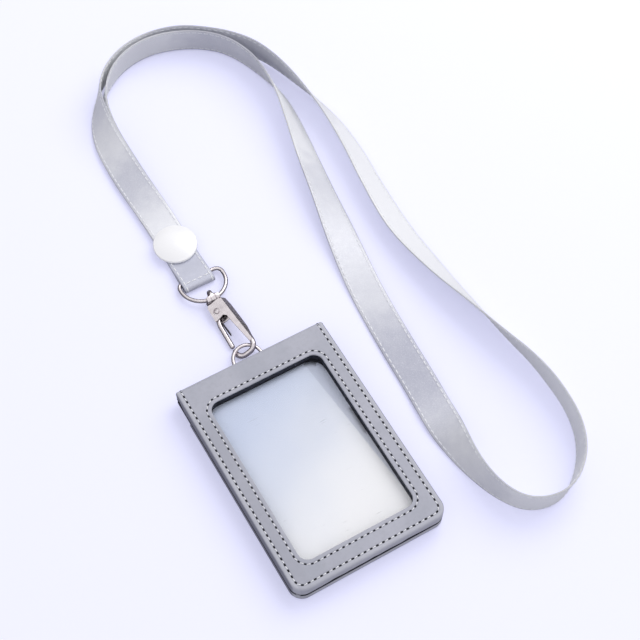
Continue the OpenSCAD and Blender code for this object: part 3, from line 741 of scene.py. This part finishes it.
# Points along its middle, and the angle of its width to the level direction left of travel.
ROUTE = [
    [0.4, 127.8, 2.3, 180], [0.4, 133, 2.34, 180], [0.2, 139.5, 2.75, 176], [-0.3, 149, 3.1, 170],
    [-1.1, 162, 3.9, 162], [-1.5, 176, 5, 152], [-1.2, 189.5, 6.2, 140], [1.2, 202, 7.3, 123],
    [6, 213.2, 7.9, 104], [14.5, 222.8, 8, 97], [27, 229.6, 8, 95], [41, 231.7, 8, 95],
    [56.3, 228.8, 8, 95], [69, 221, 8, 95], [80, 210.6, 8, 95], [88, 198, 8, 97],
    [93.8, 178.5, 7.7, 105], [98, 153, 6.6, 125], [98, 130, 5.8, 135], [95.5, 106, 5.1, 142],
    [94, 80, 4.7, 147], [96.3, 53, 5.6, 137], [100.3, 28, 6.9, 121], [103.9, 6.5, 7.7, 108],
    [106.7, -7, 7.9, 101], [108, -20, 8, 95], [107.7, -33, 8, 93], [104.9, -46, 8, 88],
    [98.4, -57.5, 7.9, 82], [88, -66, 7.9, 82], [77, -68, 7.9, 86], [66.5, -63.5, 7.9, 88],
    [60, -53, 7.9, 94], [57, -39, 7.5, 109], [57, -24, 5.9, 134], [58.5, -9, 2.9, 167],
    [60, 10, 2.6, 165], [61.2, 30, 2.4, 166], [64, 59, 1.7, 173], [68, 84, 2.1, 188],
    [72.7, 111, 4.3, 210], [77, 135, 5.4, 221], [81, 155, 6.5, 232], [83.5, 172, 7.2, 243],
    [82.6, 187, 7.8, 258], [79.6, 200.2, 8, 265], [73.8, 212, 8, 265], [65, 220.3, 8, 265],
    [53.8, 226, 8, 265], [41.5, 228.7, 8, 265], [28.5, 227, 8, 265], [17, 220.6, 8, 263],
    [8.2, 211.2, 7.6, 256], [2.4, 201.3, 6.7, 237], [-0.4, 189.5, 5.3, 220], [-0.9, 176, 4.05, 208],
    [-0.7, 162, 2.9, 198], [0, 149, 2.05, 190], [0.3, 139.5, 1.65, 184], [0.4, 133, 1.5, 180],
    [0.4, 127.8, 1.5, 180]]
RIBBON_W, RIBBON_T = 15.0, 0.72
# A stitch of the ribbon's seams: width, height, and distance from the ribbon's middle.
DASH_W, DASH_H, DASH_AT = 0.62, 0.3, 6.2


def through(points):
    """A smooth curve through points: cubics whose end directions are half the way between their
    neighbours."""
    steps = 24
    p = np.asarray(points, float)
    p = np.concatenate([2 * p[:1] - p[1:2], p, 2 * p[-1:] - p[-2:-1]])
    t = (np.arange(steps) / steps)[None, :, None]
    a, b, c, d = (p[i:len(p) - 3 + i, None] for i in range(4))
    curve = 0.5 * (2 * b + (c - a) * t + (2 * a - 5 * b + 4 * c - d) * t ** 2
                   + (3 * b - 3 * c + d - a) * t ** 3)
    return np.concatenate([curve.reshape(-1, p.shape[1]), p[-2:-1]])


def looked_up(s, way, values):
    """Rows of numbers that are known at distances along a line, at other distances."""
    return np.stack([np.interp(s, way, column) for column in values.T], -1)


def even(curve, step):
    """The curve at even distances, and those distances."""
    way = np.append(0.0, np.cumsum(np.linalg.norm(np.diff(curve[:, :3], axis=0), axis=1)))
    s = np.linspace(0.0, way[-1], int(round(way[-1] / step)) + 1)
    return looked_up(s, way, curve), s


def eased(curve, reach):
    """The curve with its small kinks averaged out over a few neighbours, its ends kept."""
    weight = np.hanning(2 * reach + 3)[1:-1]
    weight /= weight.sum()
    whole = np.concatenate([2 * curve[:1] - curve[reach:0:-1], curve,
                            2 * curve[-1:] - curve[-2:-reach - 2:-1]])
    return np.stack([np.convolve(column, weight, "valid") for column in whole.T], -1)


def ribbon_line():
    """The ribbon's middle line, the directions across it and out of its face, and the way."""
    curve, s = even(eased(even(through(ROUTE), 1.5)[0], 4), 1.5)
    angle = np.radians(curve[:, 3:])
    ahead = unit(np.gradient(curve[:, :3], axis=0) * [1, 1, 0])
    side = np.stack([-ahead[:, 1], ahead[:, 0], 0 * s], -1)
    return (curve[:, :3], np.cos(angle) * side + np.sin(angle) * UP,
            np.cos(angle) * UP - np.sin(angle) * side, s)


def ribbon_section(thick):
    """Two layers sewn together: flat faces, rounded edges, and a fine gap at both edges."""
    half, layer = RIBBON_W / 2, thick / 2
    face = np.linspace(-half + 0.12, half - 0.12, 15)
    right = np.array([[half - 0.02, 0.75 * layer], [half, 0.45 * layer],
                      [half - 0.06, 0.16 * layer], [half - 0.45, 0.0]])
    top = np.stack([face[::-1], layer + 0 * face], -1)
    edge = np.concatenate([right[:-1] * [1, -1], right[::-1]])
    return np.concatenate([edge, top, edge[::-1] * [-1, 1], top[::-1] * [1, -1]])


def strip_grid(line, section, from_way=0.0, rise=0.0):
    """A section carried along a strip's line, and each point's way along and across. rise lifts
    points out of the face."""
    point, across, out, way = line
    grid = (point[:, None] + section[None, :, :1] * across[:, None]
            + (section[None, :, 1:] + rise) * out[:, None])
    return grid, np.stack(np.broadcast_arrays(way[:, None] + from_way, section[None, :, 0]), -1)


def dashes(line, middles, length, sink):
    """Stitches along both edges of both faces of a strip, sunk a little into it."""
    def row(face, offset):
        def at(s):
            point, across, out = (looked_up(s, line[3], values) for values in line[:3])
            out = out * face
            return point + offset * across + (RIBBON_T / 2 - sink) * out, across * face, out
        return stitches(at, middles, length, DASH_W, DASH_H)
    return [row(face, offset) for face in (-1.0, 1.0) for offset in (-DASH_AT, DASH_AT)]


def ribbon_thread(name, rows):
    """Rows of stitches as one piece."""
    surfaces, uvs = zip(*rows)
    return piece(name, joined(surfaces), BRIGHT, "wallet", uv=np.concatenate(uvs))


neck_line = ribbon_line()
way = neck_line[3][:, None]
section = ribbon_section(RIBBON_T)
breath = 0.05 * ripple(way, 2.5 * section[None, :, 0], 8.0) * (way > 6) * (way < way[-1] - 6)
grid, uv = strip_grid(neck_line, section, rise=breath[..., None])
grid[..., 2] = np.maximum(grid[..., 2], 0.02)
neck = piece("neck_ribbon_band", skin(grid[:, ::-1]), RIBBON, "wallet", "neck_ribbon",
             uv[:, ::-1].reshape(-1, 2))
dash_middles = np.arange(5.0, way[-1, 0] - 5.0, 3.0)
neck_thread = ribbon_thread("neck_ribbon_thread", dashes(neck_line, dash_middles, 2.2, 0.06))

# ---- front leaf


def groove(x, y, line, top=None):
    """1 in the middle of a seam's groove and 0 beside it, and 0 above the seam's top."""
    depth = 1.0 - smooth((seam_distance(x, y, *line) - 0.18) / 0.4)
    return depth if top is None else depth * smooth((top + 0.35 - y) / 0.5)


def front_face(flat):
    """The upper face's level: both grooves, and slight unevenness of the padded leather."""
    x, y = flat.T
    cut = np.maximum(groove(x, y, FRONT_SEAM, SEAM_TOP), groove(x, y, WINDOW_SEAM))
    return TOP - GROOVE * cut + 0.05 * (ripple(x, y, 7.0) - 0.6) * (1 - cut)


def foot_rise(x, y):
    """How far the turned edge's foot stands off: a ragged gap along the bottom, and a slit that
    opens towards the fold at the left."""
    gap = smooth((-y - 50.6) / 0.6) * smooth((x + 30.0) / 8.0) * smooth((33.0 - x) / 14.0)
    slit = 2.3 * smooth((y - 43.0) / 5.0) * smooth((-x - 34.8) / 0.6)
    return gap * (0.75 + 0.5 * ripple(x, y, 1.4, 4)) + slit


def edge_round(r, angles):
    """Inset and height of a rounded edge at angles in degrees."""
    return [(r * (1 - np.cos(a)), r * np.sin(a)) for a in np.radians(angles)]


def front_leather():
    """Rings from the turned edge's foot up the side, across the face with its grooves, over the
    window's lip and back underneath."""
    edge = 1.1
    sides = [(0.72, 5.5), (0.5, 5.42), (0.25, 5.4), (0.07, 5.48), (0.0, 5.7), (0.0, 6.5),
             (0.0, 7.5), (0.0, 8.4)]
    sides += [(inset, TOP - edge + z) for inset, z in edge_round(edge, range(0, 91, 15))]
    sides += [(inset, TOP) for inset in (1.4, 1.75, 1.9, 2.0, 2.1, 2.25, 2.4, 2.55, 2.7, 2.8, 2.9,
                                         3.05, 3.4, 4.2)]
    rows = []
    for inset, z in sides:
        flat = leaf(inset, FOLD, inset if inset <= edge else edge + 0.08 * (inset - edge))
        x, y = flat.T
        if inset >= edge:
            level = front_face(flat)
        else:
            apart = 0.002 * len(rows)
            level = np.maximum(z, CARD + foot_rise(x, y) + apart)
            level += (np.maximum(z, SHEET + 0.03 + apart) - level) * smooth((y - 50.3) / 0.5)
        rows.append(raised(flat, level))
    for margin in (3.8, 3.0, 2.65, 2.5, 2.4, 2.3, 2.15, 2.0, 1.85, 1.7, 1.6, 1.5, 1.35, 1.0, 0.6):
        flat = window(margin)
        rows.append(raised(flat, front_face(flat)))
    lip = 0.34
    under = [(0.0, 9.68), (0.02, 9.52), (0.12, 9.42), (0.3, 9.4), (0.5, 9.42)]
    for margin, z in [(margin, TOP - lip + z)
                      for margin, z in edge_round(lip, range(90, -1, -18))] + under:
        flat = window(margin)
        wave = 0.05 * ripple(*flat.T, 5.0, 2)
        rows.append(raised(flat, z + wave * (margin < 0.33)))
    for inset, z in ((4.5, 9.42), (LEATHER + 0.1, 9.42), (LEATHER, 9.3), (LEATHER, 7.5)):
        flat = leaf(inset, LEAF_TOP, 0.05)
        rows.append(raised(flat, z + (9.41 - z) * smooth((flat[:, 1] - 50.3) / 0.5)))
    return skin(rows, True)


def board():
    """The thick board: outer side, upper face, the window's rough wall, and the film's recess."""
    rows = [raised(leaf(inset, LEAF_TOP, 0.0), z)
            for inset, z in ((0.95, 5.42), (0.9, 5.5), (0.9, 9.3), (0.95, 9.38))]
    for margin, z in ((0.7, 9.38), (0.2, 9.37), (0.06, 9.25), (0.04, 8.8), (0.04, 8.2), (0.04, 7.6),
                      (0.04, 7.0), (0.04, 6.5), (0.06, 6.08), (3.1, 6.07), (3.1, 5.42)):
        flat = window(margin)
        rough = 0.05 * ripple(flat[:, 0] + z, flat[:, 1] - z, 0.9) * (9.3 > z > 6.1)
        rows.append(raised(flat + rough[:, None] * np.sign(flat - [0.0, WIN_Y]), z))
    return skin(rows, True)


def sheet_of(outlines):
    """A thin sheet: rows of outline and level from the rim of its lower face to the rim of the
    upper one, with a ring inside both rims that keeps the faces flat."""
    rows = [raised(flat, z) for flat, z in outlines]
    middle = rows[0].mean(0) * [1, 1, 0]
    inner = [middle + (row - middle) * [0.985, 0.985, 1] for row in (rows[0], rows[-1])]
    return skin([inner[0]] + rows + [inner[1]])


def lining(low, high, top, seed, wander):
    """A lining sheet whose cut edge wanders up and down."""
    rows = []
    for inset, z in ((0.5, low), (0.08, low + 0.02), (0.0, (low + high) / 2), (0.08, high - 0.02),
                     (0.5, high)):
        flat = leaf(inset + 0.06, top, 0.1)
        sag = 0.10 * ripple(*flat.T, 2.1, seed) * (inset < 0.3)
        rows.append((flat, z + np.clip(sag, -0.12, 0.12) * wander))
    return sheet_of(rows)


def insert_outline(margin):
    """The insert's outline: wider than the window by a margin, but a hair inside it on the right
    and at the top."""
    flat = window(margin, side=70, base=46, corner=8)
    x, y = flat.T
    return np.stack([x - (margin + 0.1) * smooth((x - 10.0) / 16.0),
                     y - (margin + 0.15) * smooth((y - 20.0) / 18.0)], -1)


def insert_sheet(margin, levels, steps, height, scale, seed):
    """A sheet under the window: its rim at three levels, and rings that shrink towards the middle
    of an upper face that waves by a height."""
    rim = insert_outline(margin)
    rows = [raised(insert_outline(margin - 0.2), levels[0]), raised(rim, levels[1]),
            raised(rim, levels[2])]
    outer = insert_outline(margin - 0.1)
    middle = outer.mean(0)
    for k in np.linspace(1.0, 0.03, steps):
        flat = middle + (outer - middle) * k
        rows.append(raised(flat, levels[2] + 0.01 + height * ripple(*flat.T, scale, seed)))
    return skin(rows)


piece("front_leather_skin", front_leather(), GREY, "cover", "front_leather")
piece("front_board_frame", board(), BOARD, "cover", "front_board")
film = insert_sheet(3.0, (PANE + 0.02, PANE + 0.06, PANE_TOP - 0.08), 22, 0.05, 9.0, 3)
piece("window_film", film, FILM, "cover", "window_pane")
card = insert_sheet(2.2, (CARD + 0.02, CARD + 0.05, PANE - 0.1), 16, 0.04, 14.0, 5)
piece("insert_blank", card, PAPER, "cover", "insert_card")
piece("front_lining_sheet", lining(FRONT, CARD, LEAF_TOP, 1, 1.0), LINING, "cover", "front_lining")
sewn("front_seam", FRONT_SEAM, TOP - GROOVE, "cover", "front_stitches")
sewn("window_seam", WINDOW_SEAM, TOP - GROOVE, "cover", "window_stitches", closed=True, hole=0.58)

# ---- fold and rear leaf


def fold_strip():
    """The leather round the fold: its foot rounded into the rear leaf, its head bent in under the
    front leaf's edge."""
    section = np.concatenate([
        arc(51.12, 3.9, 0.88, -88, 0, 8), line(52, 4.2, 52, 8.9, 12),
        arc(50.95, 9.05, 1.02, 0, 62, 8), arc(50.95, 9.05, 0.3, 62, 0, 5),
        line(51.25, 8.8, 51.25, 4.3, 9), arc(50.9, 4.1, 0.3, 0, -85, 4)])
    middle = section.mean(0)
    rows = []
    full = [(x, 1.0) for x in np.linspace(-35.45, 35.45, 120)]
    for x, share in [(-35.4, 0.8), (-35.47, 0.96)] + full + [(35.47, 0.96), (35.4, 0.8)]:
        y, z = (middle + (section - middle) * share).T
        wave = 0.06 * ripple(x + 0 * z, z * 2, 6.0, 4) * (y > 51.5)
        rows.append(np.stack([x + 0 * y, y + wave - 0.05, z], -1))
    return skin(rows)


def rear_sheet():
    """The rear leaf's leather with rounded edges."""
    rows = [(0.6, BASE + 0.01)]
    rows += [(inset, BASE + 0.36 + z) for inset, z in edge_round(0.35, (-80, -50, -20, 0))]
    rows += [(inset, REAR_LINING - 0.36 + z) for inset, z in edge_round(0.35, (0, 25, 55, 85))]
    rows += [(0.6, REAR_LINING)]
    return sheet_of([(leaf(inset, FOLD - LEATHER, 0.0), z) for inset, z in rows])


def pocket():
    """The back pocket as a tray: its lower face with a groove, a rounded edge, the rim and the
    inside. At the mouth the rim comes down to the panel, round a thumb notch."""
    edge = 1.1
    rows = []
    for inset in (3.6, 3.0, 2.9, 2.8, 2.7, 2.55, 2.4, 2.25, 2.1, 2.0, 1.9, 1.4):
        flat = leaf(inset, MOUTH, 0.25)
        rows.append((flat, 0.35 * groove(*flat.T, BACK_SEAM, BACK_SEAM_TOP)))
    rows += [(leaf(inset, MOUTH, inset * 0.2 / edge), edge + z)
             for inset, z in edge_round(edge, range(-90, 1, 15))]
    for inset, z in ((0.0, 2.0), (0.0, 2.75), (0.1, 2.97), (0.4, 3.0), (0.7, 2.97), (LEATHER, 2.8),
                     (LEATHER, 0.9)):
        rows.append((leaf(inset, MOUTH, 0.02 * len(rows)), z))
    open_end = smooth((leaf(0.0, MOUTH, 0.0)[:, 1] - 39.2) / 0.5)
    for k, (flat, z) in enumerate(rows):
        x, y = flat.T
        dip = np.sqrt(np.maximum(64.0 - x ** 2, 0.0)) * smooth((y - 36.0) / 3.0)
        rows[k] = (np.stack([x, y - dip], -1), z + (np.minimum(z, 0.9) - z) * open_end)
    return sheet_of(rows)


def card_panel(low_y, high_y):
    """A card panel: a thin sheet of leather with rounded edges."""
    half, thick = 34.8, 0.5

    def ring(inset, r_low, r_high):
        return outline(half - inset, low_y + inset, high_y - inset, r_low, r_high,
                       side=40, base=60, corner=6)

    rows = [(ring(0.4, 1.4, 0.5), INNER + 0.01)]
    rows += [(ring(d, 1.8 - d, 0.8 - d), INNER + thick / 2 + z)
             for d, z in edge_round(thick / 2, (-75, -35, 0, 35, 75))]
    rows += [(ring(0.4, 1.4, 0.5), INNER + thick - 0.01)]
    return sheet_of(rows)


STRAP_X = 0.9


def strap():
    """The strap that holds the ring: out flat under the rear leaf, round the wire and back up."""
    path = flat_path(line(41.95, 2.8, 49.2, 2.8, 12), arc(49.2, 1.7, 1.1, 90, 0, 8),
                     arc(49.2, 1.3, 1.1, 0, -90, 8), line(49.0, 0.2, 47.7, 0.2, 4),
                     arc(47.6, 1.3, 1.1, 270, 180, 8), line(46.5, 1.4, 46.5, 2.45, 5))
    section = outline(3.5, -0.2, 0.2, 0.16, 0.16, side=1, base=16, corner=3)[:, ::-1] * [1, -1]
    points, faces = skin(carried(path, section))
    return np.stack([points[:, 2] + STRAP_X, points[:, 0], points[:, 1]], -1), faces


strip = piece("fold_leather_strip", fold_strip(), GREY, None, "spine_leather")
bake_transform(strip)
piece("rear_leather_sheet", rear_sheet(), GREY, "wallet", "rear_leather")
rear_lining = lining(REAR_LINING, INNER, FOLD - LEATHER, 2, 0.4)
piece("rear_lining_sheet", rear_lining, LINING, "wallet", "rear_lining")
piece("back_pocket_panel", pocket(), GREY, "wallet", "back_pocket")
sewn("back_seam", BACK_SEAM, 0.36, "wallet", "back_stitches", out=-1.0)
piece("low_card_pocket", card_panel(-50.8, -14.0), GREY, "wallet", "low_card_panel")
piece("high_card_pocket", card_panel(-13.7, 0.3), GREY, "wallet", "high_card_panel")
piece("ring_strap_loop", strap(), GREY, "wallet", "ring_strap")
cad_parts["rear_board"].material_slots[0].material = BOARD[0]
rivet = lathe([(0.6, 1.9), (1.15, 1.94), (1.42, 2.08), (1.5, 2.3), (1.5, 2.6)], 32,
              (STRAP_X, 44.1, 0))
piece("strap_rivet_head", rivet, METAL, "wallet", "strap_rivet")

# ---- ring and hook: the hook's own X runs across it, its Y runs up towards the swivel

RING_R, RING_WIRE = 6.673, 0.8
RING_AT, RING_TURN = (STRAP_X, 54.7, 2.286), tilt("x", 8.5)
HOOK_AT, HOOK_LEAN = (1.4, 86.2, 3.81), tilt("x", 2.0)
HOOK_TURN = HOOK_LEAN @ tilt("y", -28.0)
BOW_R, NOSE_BEND, NOSE_LOW = 1.05, 3.55, -25.6
PIN_AT, MARK_AT = (-2.4, -6.3, 0), (-1.1, -4.7, 0)
CAVITY_MIDDLE, CAVITY_HALVES = [-1.05, -6.8, 0.0], (2.96, 3.8, 1.27)


def wire_ring(path, r, at, turn):
    """A closed ring of round wire along a flat path."""
    return placed(skin(carried(path, round_section(r, 24), ring=True), True), at, turn)


circle = raised(arc(0, 0, RING_R, 0, 360, 145)[:-1], 0.0)
piece("wallet_ring_wire", wire_ring(circle, RING_WIRE, RING_AT, RING_TURN), METAL, "ring",
      "wallet_ring")


def on_hook(surface):
    """A surface from the hook's own axes to the frame's."""
    return placed(surface, HOOK_AT, HOOK_TURN)


def bow():
    """The round nose of the hook, thicker towards its tip."""
    path = flat_path(
        line(-3.9, -24.9, -3.9, NOSE_LOW, 3), arc(-0.35, NOSE_LOW, NOSE_BEND, 180, 270, 16),
        line(-0.35, -29.15, 1.75, -29.15, 5), arc(1.75, NOSE_LOW, NOSE_BEND, 270, 360, 16),
        line(5.3, -25.5, 5.1, -22.0, 6), [[5.1, -22.0]])
    y = rounded_ends(path, BOW_R)[0][:, 1]
    return bar(path, BOW_R, 28, scale=1.0 + 0.14 * smooth((-y - 25.2) / 1.5))


def arm():
    """The flat arm beside the opening: its upper face widens and rises towards the box, its outer
    side slopes outward to the back, and its edges have small bevels."""
    ends = {-0.25: 0.7, -0.3: 0.9, -25.9: 0.8, -26.4: 0.45}
    rows = []
    for at in np.concatenate([[-0.25, -0.3], np.linspace(-0.5, -25.2, 40), [-25.9, -26.4]]):
        h = 1.8 - 0.75 * smooth((-at - 7.0) / 18.5)
        out = 3.86 - 0.089 * at
        foot = out + 0.85 + 0.35 * smooth(-at / 5.0) - 0.9 * smooth((-at - 17.0) / 8.0)
        inner = 1.9 + 0.165 * max(-at - 10.2, 0.0)
        shape = np.array([(inner + 0.25, -h), (foot - 0.35, -h), (foot, -h + 0.3),
                          (out + 0.14, h - 0.3), (out, h - 0.1), (out - 0.22, h),
                          (inner + 0.2, h), (inner, h - 0.2), (inner, -h + 0.25)])
        middle = shape.mean(0)
        x, z = (middle + (shape - middle) * ends.get(at, 1.0)).T
        rows.append(np.stack([x, at + 0 * x, z], -1))
    return skin(rows)


piece("hook_bow", on_hook(joined([bow(), arm()])), METAL, "hook", "hook_frame", crease=28)

# The hook box's recess, where the metal is painted nearly black as shade.
hollow = HOOK_TURN @ CAVITY_MIDDLE + HOOK_AT, HOOK_TURN.T, CAVITY_HALVES
shaded_nickel = nickel("nickel_hollow_shade", hollow)
block = prism([(-3.95, -0.9), (-3.95, -8.5), (-1.4, -8.3), (0.6, -7.7), (1.9, -9.0), (3.2, -10.0),
               (3.2, -0.3), (2.9, 0.0), (-3.0, 0.0)], -1.78, 1.78)
box = piece("hook_box", on_hook(block), shaded_nickel, "hook", crease=30)
mouth = prism([(-4.9, -3.05), (-4.9, -10.6), (1.85, -10.6), (1.85, -3.05)], -1.25, 1.25)
stem_hole = lathe([(1.75, -3.2), (1.75, -1.6), (1.45, -1.5), (1.45, 0.6)], 32)
mark_hole = lathe([(1.6, 1.3), (1.6, 2.4)], 36, MARK_AT)
carve(box, on_hook(mouth), placed(stem_hole, HOOK_AT, HOOK_LEAN @ tilt("x", -90.0)),
      on_hook(mark_hole))
box.data.set_sharp_from_angle(angle=np.radians(30))
bevelled(box, 0.3, 3)
plate = on_hook(prism([(-3.9, -7.0), (-3.9, -9.9), (2.4, -10.0), (2.4, -7.0)], -1.76, -1.3))
bevelled(piece("hook_box_floor", plate, METAL, "hook", crease=30), 0.15)
shank = lathe([(0.3, -1.9), (0.75, -1.85), (0.75, 1.4), (0.3, 1.5)], 24, PIN_AT)
head = lathe([(0.3, 1.2), (1.0, 1.25), (1.04, 1.6), (1.02, 1.78), (0.9, 1.88), (0.6, 1.92),
              (0.2, 1.93)], 32, MARK_AT)
piece("gate_pin_rivet", on_hook(joined([shank, head])), METAL, "hook", "gate_pin", crease=40)

gate_path = flat_path(line(-2.5, -6.6, -3.1, -8.6, 5), line(-3.1, -8.6, -3.6, -10.6, 6),
                      line(-3.65, -11.2, -3.85, -22.2, 20), [[-3.85, -22.2]])
boss = lathe([(1.0, -1.0), (1.42, -0.92), (1.5, -0.7), (1.5, 0.7), (1.42, 0.92), (1.0, 1.0)], 32,
             PIN_AT)
gate = on_hook(joined([bar(gate_path, BOW_R, 24, 2.6), boss]))
piece("hook_gate_bar", gate, METAL, "gate", "hook_gate")
wires = [bar(np.array([[-2.5 + start + 0.085 * (-9.4 - y), y, z]
                       for y in np.linspace(-9.4, -17.2, 24)]), 0.28, 10)
         for start, z in ((0.05, -0.5), (0.55, 0.5))]
piece("gate_spring_wires", on_hook(joined(wires)), WIRE, "gate", "gate_spring")


def swivel_eye():
    """The eye: rings over its rim and back through the hole, each of two half circles 0.8 apart.
    Beside the box it is a broad collar with two grooves, and at the D ring's wire it is narrow."""
    rim = [(2.7, 1.0), (2.84, 0.96), (3.12, 0.47), (3.1, 0.43), (2.86, 0.39), (2.86, 0.36)]
    rim += [(3.16, 0.31), (3.18, -0.31)] + [(r, -x) for r, x in rim[::-1]]
    rows = []
    for r, x in rim + [(1.95, -0.97), (1.8, -0.8), (1.8, 0.8), (1.95, 0.97)]:
        y, z = np.concatenate([arc(3.5, 0, r, -90, 90, 41), arc(2.7, 0, r, 90, 270, 41)]).T
        broad = 0.85 + 2.3 * smooth((3.15 - y) / 0.5)
        rows.append(np.stack([x * broad, np.maximum(y, 0.16 + 0.1 * (r < 2.9)), z], -1))
    return skin(rows, True)


stem = lathe([(0.9, -2.75), (1.5, -2.6), (1.55, -2.4), (1.5, -2.05), (1.2, -1.95), (1.2, 0.3),
              (1.6, 0.55)], 32)
eye = joined([swivel_eye(), placed(stem, (0, 0, 0), tilt("x", -90.0))])
piece("swivel_eye_ring", placed(eye, HOOK_AT, HOOK_LEAN), METAL, "swivel", "swivel_eye", crease=24)

D_AT, D_TURN, D_WIRE = (1.9, 103.4, 1.85), tilt("x", -6.2), 0.9
d_path = flat_path(line(-7.6, 0, 7.6, 0, 24), arc(7.6, -3, 3, 90, 0, 12),
                   line(10.6, -3.1, 10.6, -4.1, 3), arc(0, -4.1, 10.6, 0, -180, 72),
                   line(-10.6, -4.0, -10.6, -3.1, 3), arc(-7.6, -3, 3, 180, 90, 12))
piece("d_ring_wire", wire_ring(d_path[:-1], D_WIRE, D_AT, D_TURN), METAL, "d_ring", "d_ring")

# ---- ribbon tail and snap

SNAP_AT = (0.4, 122.6, 0.0)
TAIL_LOW, TAIL_HIGH, TAIL_END, BEND_AT, TAIL_SINK = 0.42, 3.28, 127.5, 99.85, 0.08


def tail_line():
    """The strip's middle line, from under the snap round the D ring's bar and back, with its
    directions and the way."""
    low, high, foot, rise = TAIL_LOW, TAIL_HIGH, 105.2, 112.7
    path = flat_path(
        line(TAIL_END, 1.45, rise, 1.45, 12), line(rise, 1.45, foot, low, 8),
        line(foot, low, BEND_AT, low, 5), arc(BEND_AT, (low + high) / 2, 1.43, 270, 90, 14),
        line(BEND_AT + 0.1, high, foot, high, 5), line(foot, high, rise, 2.3, 8),
        line(rise, 2.3, TAIL_END, 2.3, 12), [[TAIL_END, 2.3]])
    path, s = even(eased(path, 2), 0.5)
    point = np.stack([SNAP_AT[0] + 0 * s, path[:, 0], path[:, 1]], -1)
    across = np.broadcast_to([1.0, 0.0, 0.0], point.shape)
    return point, across, np.cross(unit(np.gradient(point, axis=0)), across), s


def cross_seam(x):
    """The stitch line across the tail, just above the D ring's bar."""
    point, _, out, _ = tail
    spot = np.argmin(np.abs(point[:, 1] - 101.3) + 9.0 * (point[:, 2] < 2.0))
    flat = 0 * x[..., None]
    return (point[spot] + x[..., None] * [1.0, 0, 0] - (RIBBON_T / 2 - TAIL_SINK) * out[spot],
            flat + [0, -1.0, 0], flat - out[spot])


tail = tail_line()
grid, uv = strip_grid(tail, ribbon_section(RIBBON_T - 0.04), TAIL_FROM + 5.0)
fold = piece("ribbon_tail_fold", skin(grid), RIBBON, "wallet", "ribbon_tail", uv.reshape(-1, 2))
carve(fold, lathe([(2.7, 0.6), (2.7, 3.4)], 48, SNAP_AT))
rows = dashes(tail, np.arange(3.0, tail[3][-1] - 2.0, 3.1), 2.3, TAIL_SINK)
rows += [stitches(cross_seam, np.array([-4.5, -1.5, 1.5, 4.5]), 2.3, DASH_W, DASH_H)]
ribbon_thread("ribbon_tail_thread", rows)

foot = lathe([(5.9, 0.02), (6.7, 0.06), (7.0, 0.3), (7.0, 0.7), (6.8, 0.92), (6.4, 1.0),
              (2.75, 1.0), (2.6, 1.15), (2.6, 2.6), (2.5, 2.74), (2.2, 2.75), (2.05, 2.65),
              (2.0, 1.2)], 72, SNAP_AT)
piece("snap_foot", foot, PLASTIC, "wallet", "snap_base")
BALL_R, CAP_TOP = 23.33, 6.4
dome = [(r, CAP_TOP - BALL_R + np.sqrt(BALL_R ** 2 - r ** 2)) for r in np.linspace(9.5, 0.4, 22)]
cap = lathe([(1.1, 1.06), (1.7, 1.12), (1.8, 1.3), (1.8, 2.7), (2.1, 2.84), (9.1, 2.84),
             (9.7, 2.86), (10.02, 3.05), (10.1, 3.35), (10.09, 3.85), (9.98, 4.14), (9.78, 4.3)]
            + dome, 96, SNAP_AT)
piece("snap_cap_dome", cap, PLASTIC, "cap", "snap_cap")

# ---- floor and light

FLOOR_HALF, FLOOR_Z = 3000.0, -0.1
FLAG_R, FLAG_LOW, FLAG_HIGH = 1000.0, 2.0, 520.0
KEY_AT, KEY_AIM, KEY_SIZE, KEY_POWER = (0.72, 0.35, 0.85), (0.03, 0.07, 0.0), 1.0, 6.4

corners = np.array([[-1, -1], [1, -1], [1, 1], [-1, 1]]) * FLOOR_HALF
sheet = raised(corners, FLOOR_Z), [np.array([[0, 1, 2, 3]])]
floor = piece("floor", sheet, (pale_floor()[0], None))
ring = arc(0, 0, FLAG_R, 0, 360, 49)[:-1]
wall = np.concatenate([raised(ring, FLAG_LOW), raised(ring, FLAG_HIGH)])
flag = piece("flag_ring", (wall, [quads(2, len(ring))]), (dark_flag()[0], None))

lamp = bpy.data.lights.new("key_light", "AREA")
lamp.shape, lamp.size, lamp.energy, lamp.color = "SQUARE", KEY_SIZE, KEY_POWER, (1.0, 0.995, 0.98)
key = added("key_light", lamp)
key.location = KEY_AT
key.rotation_euler = (Vector(KEY_AIM) - Vector(KEY_AT)).to_track_quat("-Z", "Y").to_euler()

studio = Finish("studio", world=True)
camera, glossy, clear = studio.rays("Camera", "Glossy", "Transmission")
fill = studio.node("Background", {0: (0.95, 0.95, 1.0, 1.0), 1: 0.71})
white = studio.node("Background", {0: WHITE, 1: 1.0})
scene.world = studio.end(studio.mix(camera.more(glossy).more(clear), fill, white))[0]

scene.view_settings.view_transform = "Standard"
bpy.context.view_layer.update()
